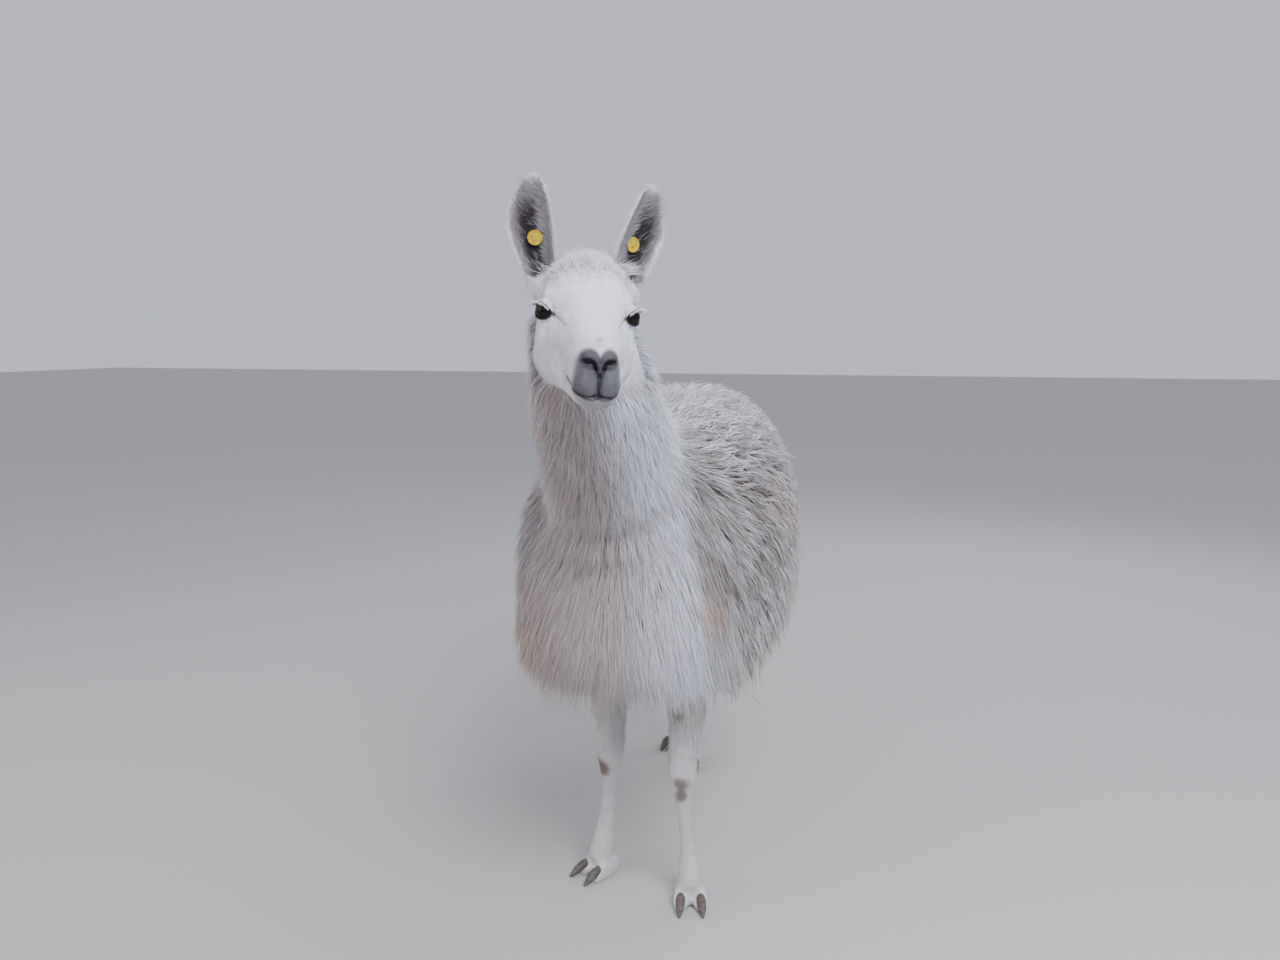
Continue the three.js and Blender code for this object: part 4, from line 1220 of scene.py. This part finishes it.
# ---------------------------------------------------------------------------------------------
# Long coat. Fine wool in pointed locks over neck, trunk and tail: fluffy on the neck, long and
# silky down the chest, in heavy drawn-out locks on the flanks, felted and curling on the back.
# For each region: length, lift off the skin, sway in degrees, how far a clump draws together,
# half the width of a lock, depth of its waves, distance between clumps, how far the heights of
# the locks differ, how far locks are tilted, and how loosely each lies, in metres and radians
LONG_COAT = {
    "flank": (0.120, 0.50, 10, 0.66, 0.00158, 0.0034, 0.022, 0.75, 0.40, 0.06),
    "rump": (0.120, 0.50, 10, 0.60, 0.00188, 0.0040, 0.026, 0.75, 0.40, 0.06),
    "back": (0.092, 0.50, 17, 0.62, 0.00118, 0.0050, 0.024, 0.70, 0.36, 0.05),
    "belly": (0.100, 0.70, 8, 0.50, 0.00200, 0.0040, 0.026, 0.75, 0.40, 0.05),
    "chest": (0.125, 0.55, 3, 0.09, 0.00064, 0.0014, 0.014, 0.27, 0.22, 0.045),
    "bib": (0.075, 0.70, 4, 0.08, 0.00057, 0.0012, 0.012, 0.24, 0.22, 0.060),
    "neck": (0.050, 0.80, 5, 0.08, 0.00059, 0.0018, 0.012, 0.28, 0.25, 0.14),
    "tail": (0.120, 0.60, 8, 0.50, 0.00160, 0.0040, 0.020, 0.70, 0.40, 0.05),
}
LENGTH, LIFT, SWAY, DRAWN, HALF, WAVE, SPACING, UNEVEN, TILT, LOOSE = range(10)
CLUMPS = 8200
STEPS = 7
DARK_CLUMPS = 0.34
DARK_LOCKS = 0.28
SUNK_LOCKS = 0.25
# The outermost clumps against the depth of the wool, and how much lower others lie
PROUDEST = 1.22
DEEPEST = 0.38
# The hem: its lowest tips, how much higher it is in front, and the thin wisps that hang below it
LOWEST_TIP = 0.526
FRONT_RISE = 0.046
WISPS = 0.26
LONGEST_WISP = 0.11

traits = np.tile(LONG_COAT["flank"], (len(skin_at), 1))
traits = blend(traits, ease(skin_y, 0.50, 0.70), LONG_COAT["rump"])
traits = blend(traits, ease(-skin_x, 0.02, 0.12) * ease(skin_y, -0.2, 0.0), LONG_COAT["rump"])
traits = blend(traits, skin_shares["back"], LONG_COAT["back"])
traits = blend(traits, ease(-skin_facing[:, 2], 0.45, 0.85), LONG_COAT["belly"])
for region in ("chest", "neck", "tail"):
    traits = blend(traits, skin_shares[region], LONG_COAT[region])
traits = blend(traits, skin_shares["neck"] + skin_shares["head"] + ease(skin_z, 1.18, 1.24),
               LONG_COAT["neck"])
skin_depth = wool_depth(skin_at, skin_facing)
neck_share, chest_share = skin_shares["neck"], skin_shares["chest"]
traits = blend(traits, chest_share * ease(skin_z, 0.76, 0.92), LONG_COAT["bib"])
near_neck_top = ease(up_the_neck(skin_at), 0.48, 0.62) * neck_share
near_neck_foot = (1 - ease(up_the_neck(skin_at), 0.24, 0.42)) * neck_share
traits[:, LENGTH] *= 1 - 0.25 * near_neck_top + 0.5 * near_neck_foot
traits[:, HALF] *= 1 - 0.2 * near_neck_top
near_ears = np.zeros(len(skin_at))
for ear in EARS.values():
    from_root = np.linalg.norm(on_head(skin_at) - ear.root + 8 * ear.along, axis=1)
    near_ears += (1 - ear_share) * (1 - ease(from_root, 30, 46))
long_share = long_share * (1 - near_ears)
hem = LOWEST_TIP + FRONT_RISE * ease(-skin_y, 0.10, 0.28)
long_share = long_share * ease(skin_z, hem + 0.005, hem + 0.040)


def nearest_on_skin(points):
    """For each point the nearest place on the hide, the way it faces there, and the triangle."""
    found = [skin_tree.find_nearest(Vector(point)) for point in points]
    feet = np.array([place[0] for place in found])
    facings = np.array([place[1] for place in found])
    return feet, facings, np.array([place[2] for place in found])


def grow(roots, length, lift, sway, height, seed):
    """Guide paths: out of the skin and then over it at a height, along the lie of the coat."""
    draw = np.random.default_rng(seed)
    place = over(skin_at, roots)
    facing = unit(over(skin_facing, roots))
    lie = unit(over(skin_lie, roots))
    swing = np.radians(sway) * draw.normal(size=len(place))
    curl = np.radians(sway) * draw.normal(size=len(place)) * 1.1
    phase = draw.uniform(0, 6.3, len(place))
    paths, facings, heights = [place], [facing], [np.zeros(len(place))]
    for step in range(1, STEPS + 1):
        share = step / STEPS
        turn = (swing + curl * np.sin(5 * share + phase))[:, None]
        heading = lie * np.cos(turn) + np.cross(facing, lie) * np.sin(turn)
        heading = heading + (lift * (1 - share) ** 2)[:, None] * facing + (0, 0, -0.12 * share)
        place = place + unit(heading) * (length / STEPS)[:, None]
        feet, facing, faces = nearest_on_skin(place)
        above = ((place - feet) * facing).sum(axis=1)
        want = height * (1 - (1 - share) ** 2.6)
        pull = np.where(above < want, 1.0, 0.55 * ease(facing[:, 2], -0.35, 0.1))
        place = place + ((want - above) * pull)[:, None] * facing
        lie = face_lie[faces]
        paths.append(place)
        facings.append(facing)
        heights.append(np.maximum(above, want))
    return np.stack(paths, axis=1), np.stack(facings, axis=1), np.stack(heights, axis=1)


def along_guides(kept, guide, share):
    """Values along guides, at shares of their length."""
    place = np.clip(share * STEPS, 0, STEPS - 1e-6)
    low = place.astype(int)
    part = place - low
    if kept.ndim == 3:
        part = part[..., None]
    guide = guide[:, None]
    return kept[guide, low] * (1 - part) + kept[guide, low + 1] * part


clump_roots = scatter(long_share / traits[:, SPACING] ** 2, CLUMPS, 11)
clump_traits = over(traits, clump_roots)
draw = np.random.default_rng(12)
clump_size = draw.uniform(0.80, 1.12, CLUMPS)
sunk = draw.uniform(0, DEEPEST, CLUMPS) * clump_traits[:, UNEVEN]
clump_height = over(skin_depth, clump_roots) * (PROUDEST - sunk)
guides, guide_facings, guide_heights = grow(
    clump_roots, clump_traits[:, LENGTH] * clump_size, clump_traits[:, LIFT], clump_traits[:, SWAY],
    clump_height, 13)
clump_tree = KDTree(CLUMPS)
for number, place in enumerate(guides[:, 0]):
    clump_tree.insert(Vector(place), number)
clump_tree.balance()
clump_tone = draw.normal(0, 0.05, CLUMPS)
clump_is_dark = draw.random(CLUMPS) < DARK_CLUMPS


def fleece(name, weight, count, rings, wool, seed, crest):
    """Long locks, drawn towards the clumps that they stand in, in pieces."""
    draw = np.random.default_rng(seed)
    size = traits[:, HALF] ** 1.1 * traits[:, LENGTH] ** 0.5
    roots = scatter(long_share * weight / size, count, seed + 1)
    order = np.lexsort((over(skin_at, roots)[:, 1], over(skin_at, roots)[:, 0] > 0))
    roots = (roots[0][order], roots[1][order])
    at = over(skin_at, roots)
    own = over(traits, roots)
    guide = np.array([clump_tree.find(Vector(place))[1] for place in at])
    thin = draw.random(count) < WISPS
    reach = draw.uniform(0.66, 1.0, count) + 0.10 * thin
    ends = guides[guide, STEPS]
    room = at[:, 2] - LOWEST_TIP - FRONT_RISE * ease(-at[:, 1], 0.10, 0.28)
    room += draw.normal(0, 0.012, count) + LONGEST_WISP * thin * draw.random(count)
    fall = np.maximum(guides[guide, 0, 2] - ends[:, 2], 1e-4) * reach
    reach = reach * np.clip(room / fall, 0.25, 1)
    share = np.linspace(0, 1, rings + 1)[None, :] ** 1.15 * reach[:, None]
    apart = at - guides[guide, 0]
    closing = 1 - own[:, DRAWN, None] * share**1.4
    paths = along_guides(guides, guide, share) + apart[:, None] * closing[..., None]
    facings = along_guides(guide_facings, guide, share)
    drop = own[:, UNEVEN] * draw.beta(1.2, 2.4, count)
    sunk = draw.random(count) < SUNK_LOCKS
    drop = np.where(sunk, np.maximum(drop, draw.uniform(0.18, 0.55, count)), drop)
    paths -= (drop[:, None] * along_guides(guide_heights, guide, share))[..., None] * facings
    sideways = unit(np.cross(unit(np.gradient(paths, axis=1)), facings))
    waves = draw.uniform(4, 11, count)[:, None] * share + draw.uniform(0, 6.3, count)[:, None]
    paths += (own[:, WAVE, None] * np.sin(waves) * share**0.7)[..., None] * sideways
    stray = draw.normal(size=(count, 1, 3)) * (own[:, LENGTH] * own[:, LOOSE])[:, None, None]
    paths += stray * (share**1.3)[..., None]
    flat = paths[:, 1:].reshape(-1, 3)
    feet, beside, _ = nearest_on_skin(flat)
    above = ((flat - feet) * beside).sum(axis=1)
    least = 0.0025 + 0.004 * share[:, 1:].ravel()
    flat += (np.maximum(least - above, 0))[:, None] * beside
    paths[:, 1:] = flat.reshape(count, rings, 3)
    whole = np.linalg.norm(np.diff(paths, axis=1), axis=2).max(axis=1) < 1.5 * own[:, LENGTH] / rings + 0.02
    paths[~whole] = at[~whole, None] + 0.004 * share[~whole, :, None] * facings[~whole]
    shown = paths.reshape(-1, 3)
    shown_facing = unit(facings).reshape(-1, 3)
    tips, deep = coat_colours(shown, shown_facing)
    shade = flank_shade(shown, regions(shown, shown_facing)).reshape(count, -1)
    is_dark = np.maximum(clump_is_dark[guide] * 0.80, (draw.random(count) < DARK_LOCKS) * 0.9)
    tips = blend(tips, (is_dark[:, None] * shade).ravel(), UNDERCOAT * 0.9).reshape(paths.shape)
    tone = 1 + (1.6 * clump_tone[guide] + draw.normal(0, 0.07, count)) * own[:, UNEVEN]
    climb = ease(share, 0.04, 0.42)[..., None]
    colours = deep.reshape(paths.shape) * (1 - climb) + tips * climb
    colours = np.clip(colours * tone[:, None, None], 0.01, 0.92)
    tilt = draw.normal(size=count)[:, None] * own[:, TILT, None]
    facings = unit(facings * np.cos(tilt)[..., None] + sideways * np.sin(tilt)[..., None])
    profile = np.interp(np.linspace(0, 1, rings + 1), [0, 0.3, 0.6, 0.85, 1], [0.7, 1.0, 0.9, 0.55, 0])
    halves = own[:, HALF, None] * profile * (draw.uniform(0.7, 1.35, count) * (1 - 0.4 * thin))[:, None]
    weave(name, wool, paths, facings, halves, colours, roots, crest)


silk = hair_finish("silky_wool", 0.75, 0.12)
wool = hair_finish("wool", 0.78, 0.26)
behind = ease(skin_y, 0.62, 0.76) * hump(skin_x, 0, 0.10)
left_front = ease(skin_x, -0.05, 0.15) * ease(-skin_y, -0.45, -0.15)
seen_more = 0.72 + 1.5 * behind + 0.5 * left_front
over_breast = 0.8 * chest_share * ease(skin_z, 0.86, 0.98)
over_throat = 0.4 * ease(-skin_facing[:, 1], -0.2, 0.4)
fleece("coat_neck", neck_share * (1 + over_throat) + over_breast, 32800, 2, silk, 21, 0.30)
fleece("coat_chest", chest_share, 29600, 2, silk, 23, 0.30)
fleece("coat_tail", skin_shares["tail"] + 0.4 * behind, 2200, 3, wool, 27, 0.5)
fleece("coat_side", (1 - neck_share) * (1 - chest_share) * seen_more, 22000, 4, wool, 25, 0.55)

# ---------------------------------------------------------------------------------------------
# Short coat. Close white hair on the face and legs, as small pointed tufts that lie flat on the
# hide, with finer pale ones on the lips and loose ones between the ears.


def tufts(name, finish, density, count, length, half, lift, seed, colours=None, rings=2,
          spread=0.22, tones=0.06, crest=0.5):
    """Small pointed tufts over the hide where the density is. Length, half width and lift are
    numbers, or values for the hide's corners."""
    length, half, lift = (np.broadcast_to(value, len(skin_at)) for value in (length, half, lift))
    roots = scatter(density, count, seed)
    draw = np.random.default_rng(seed + 1)
    place = over(skin_at, roots)
    facing = unit(over(skin_facing, roots))
    lie = unit(over(skin_lie, roots) + spread * draw.normal(size=(count, 3)))
    lie = unit(lie - (lie * facing).sum(axis=1)[:, None] * facing)
    long = over(length, roots) * draw.uniform(0.7, 1.2, count)
    rise = over(lift, roots) * draw.uniform(0.6, 1.4, count)
    share = np.linspace(0, 1, rings + 1)
    out = (rise[:, None] * (share - 0.38 * share**2))[..., None] * facing[:, None]
    paths = place[:, None] + long[:, None, None] * (lie[:, None] * share[:, None] + out)
    paths -= 0.0004 * facing[:, None] * (1 - share)[:, None]
    tips = over(hair_colours if colours is None else colours, roots)
    deep = over(root_colours if colours is None else colours, roots) * 0.97
    shades = deep[:, None] * (1 - share[:, None]) + tips[:, None] * share[:, None]
    shades = np.clip(shades * (1 + draw.normal(0, tones, count))[:, None, None], 0.01, 0.93)
    profile = np.interp(share, [0, 0.4, 1], [0.8, 1.0, 0])
    halves = over(half, roots)[:, None] * profile * draw.uniform(0.7, 1.3, count)[:, None]
    facings = np.broadcast_to(facing[:, None], paths.shape)
    weave(name, finish, paths, facings, halves, shades, roots, crest)


down = hair_finish("short_hair", 0.72, 0.07, 0.3)
rows = on_head(skin_at)
head_only = np.maximum(skin_shares["head"], near_ears) * (1 - ear_share) * (1 - bare_share)
muzzle = ease(rows[:, 0], 110, 210)
crown = ease(-rows[:, 0], -40, 80) * ease(rows[:, 2], 20, 75)
jowl = ease(-rows[:, 2], 50, 110) * ease(-rows[:, 0], -90, 0)
face_length = 0.0072 - 0.0038 * muzzle + 0.008 * crown + 0.006 * jowl
face_half = 0.00052 - 0.00016 * muzzle
face_length += 0.006 * near_ears
face_lift = 0.13 + 0.03 * muzzle + 0.28 * crown + 0.20 * jowl + 0.30 * near_ears
tufts("coat_face", down, head_only * (1 + 1.5 * muzzle) * (1 + near_ears), 35000,
      face_length, face_half, face_lift, 31, rings=1, tones=0.05, crest=0.3)

# Fine pale hairs that spread over the lips from their cleft
on_lips = np.zeros(len(skin_at))
on_lips[by_face] = mark[0] * (1 - np.minimum(dark * 1.5, 1)) * (mark[1] < 0.3)
tufts("coat_lips", down, on_lips, 1000, 0.0065, 0.00014, 0.35, 33,
      colours=np.tile(LIP_PALE, (len(skin_at), 1)), rings=1, spread=0.35, tones=0.2)

leg_share = (1 - ease(skin_z, 0.54, 0.60)) * (skin_z > 0.012)
leg_length = 0.0070 + 0.012 * ease(skin_z, 0.28, 0.44)
leg_half = 0.00075 + 0.0004 * ease(skin_z, 0.28, 0.44)
leg_lift = 0.22 + 0.3 * ease(skin_z, 0.30, 0.44)
tufts("coat_legs", down, leg_share, 20000, leg_length, leg_half, leg_lift, 41,
      rings=1, tones=0.04)

# Topknot: loose soft wisps that stand up between the ears and fall over the brow
topknot = head_only * hump(rows[:, 0], -66, 42) * hump(rows[:, 1], 0, 50) * ease(rows[:, 2], 35, 70)
tufts("coat_topknot", down, topknot, 3600, 0.021, 0.00040, 0.85, 51,
      spread=0.50, tones=0.04, crest=0.3)

# ---------------------------------------------------------------------------------------------
# Lashes. A thick pale shelf of stiff hairs, rooted in the rim of the upper lid. They stand out
# from it and curve down, longest over its outer half.
LASHES = 150
LASH_WHITE = np.array([0.84, 0.83, 0.85])
for side, out in SIDES.items():
    draw = np.random.default_rng(71)
    step = np.pi * draw.uniform(0.16, 0.92, LASHES)
    turn = LID_TURN + LID_WIDE * np.sign(np.cos(step)) * np.abs(np.cos(step)) ** (2 / LID_ENDS)
    rise = LID_TALL * np.sin(step) ** (2 / LID_ARCH) - LID_SLANT * (turn - LID_TURN)
    rise = np.radians(rise + draw.uniform(0, 4, LASHES))
    turn = np.radians(turn)
    to_gaze, to_front = np.cos(rise) * np.cos(turn), np.cos(rise) * np.sin(turn)
    ray = np.column_stack([to_gaze * math.cos(GAZE) + to_front * math.sin(GAZE),
                           out * (to_gaze * math.sin(GAZE) - to_front * math.cos(GAZE)), np.sin(rise)])
    base = np.array([EYE_AHEAD, out * EYE_OUT, 0]) + 21.3 * ray
    reach = (7 + 7 * np.sin(step) ** 0.7 * ease(-np.cos(step), -0.8, 0.4)) * draw.uniform(0.75, 1.1, LASHES)
    aim = unit(ray * (1, 1, 0.35) + 0.14 * draw.normal(size=(LASHES, 3)) + (0.05, 0.35 * out, -0.12))
    share = np.linspace(0, 1, 4)[None, :, None]
    curl = (share**2 - 0.4 * share) * (0, 0, -0.30)
    paths = base[:, None] + reach[:, None, None] * (share * aim[:, None] + curl)
    found = [skin_tree.find_nearest(Vector(place))[2] for place in off_head(base)]
    roots = (np.array(found), np.full((LASHES, 3), 1 / 3))
    colours = np.clip(LASH_WHITE * draw.uniform(0.85, 1.05, (LASHES, 1, 1)), 0, 0.92) * np.ones((1, 4, 1))
    halves = np.full((LASHES, 4), 0.00045) * np.array([1.1, 1.0, 0.7, 0])
    facings = np.broadcast_to(HEAD_AXES[2], paths.shape)
    weave(f"lashes_{side}", down, off_head(paths), facings, halves, colours, roots)

# ---------------------------------------------------------------------------------------------
# Hair of the ears. Close and white outside, grey-brown inside with long pale hairs lying across
# from the inner edge, and a bright fringe all round the rim.
EAR_PALE = np.array([0.38, 0.35, 0.37])
lower_inner = ease(-ear_across, 0.5, 0.9) * (1 - ease(ear_run, 0.25, 0.55)) * ear_share
outside = ear_share * (1 - ear_inside)
tufts("coat_ear_outside", down, outside, 5200, 0.0075, 0.0006, 0.25, 61,
      rings=1, tones=0.05)
within = ear_share * ear_inside * (1 - rim)
tufts("coat_ear_inside", down, within, 4600, 0.0085, 0.00048, 0.30, 63,
      colours=ear_colours, rings=1, tones=0.12)
pale_hair = np.tile(EAR_PALE, (len(skin_at), 1))
near_edges = within * (0.03 + 1.4 * ease(-ear_across, 0.3, 0.85) * (1 - 0.6 * ease(ear_run, 0.6, 0.8))
                       + 0.5 * ease(ear_across, 0.5, 0.9) + 0.6 * ease(ear_run, 0.7, 0.9) + 2 * lower_inner)
tufts("coat_ear_pale", down, near_edges, 3000, 0.018, 0.00026, 0.30, 65,
      colours=pale_hair, tones=0.15, crest=0.3)
tufts("coat_ear_rim", down, rim * ear_share, 9000, 0.0082 + 0.007 * lower_inner,
      0.00042, 0.18, 67, colours=np.tile(FACE_WHITE, (len(skin_at), 1)), rings=1, spread=0.26,
      tones=0.03, crest=0.3)
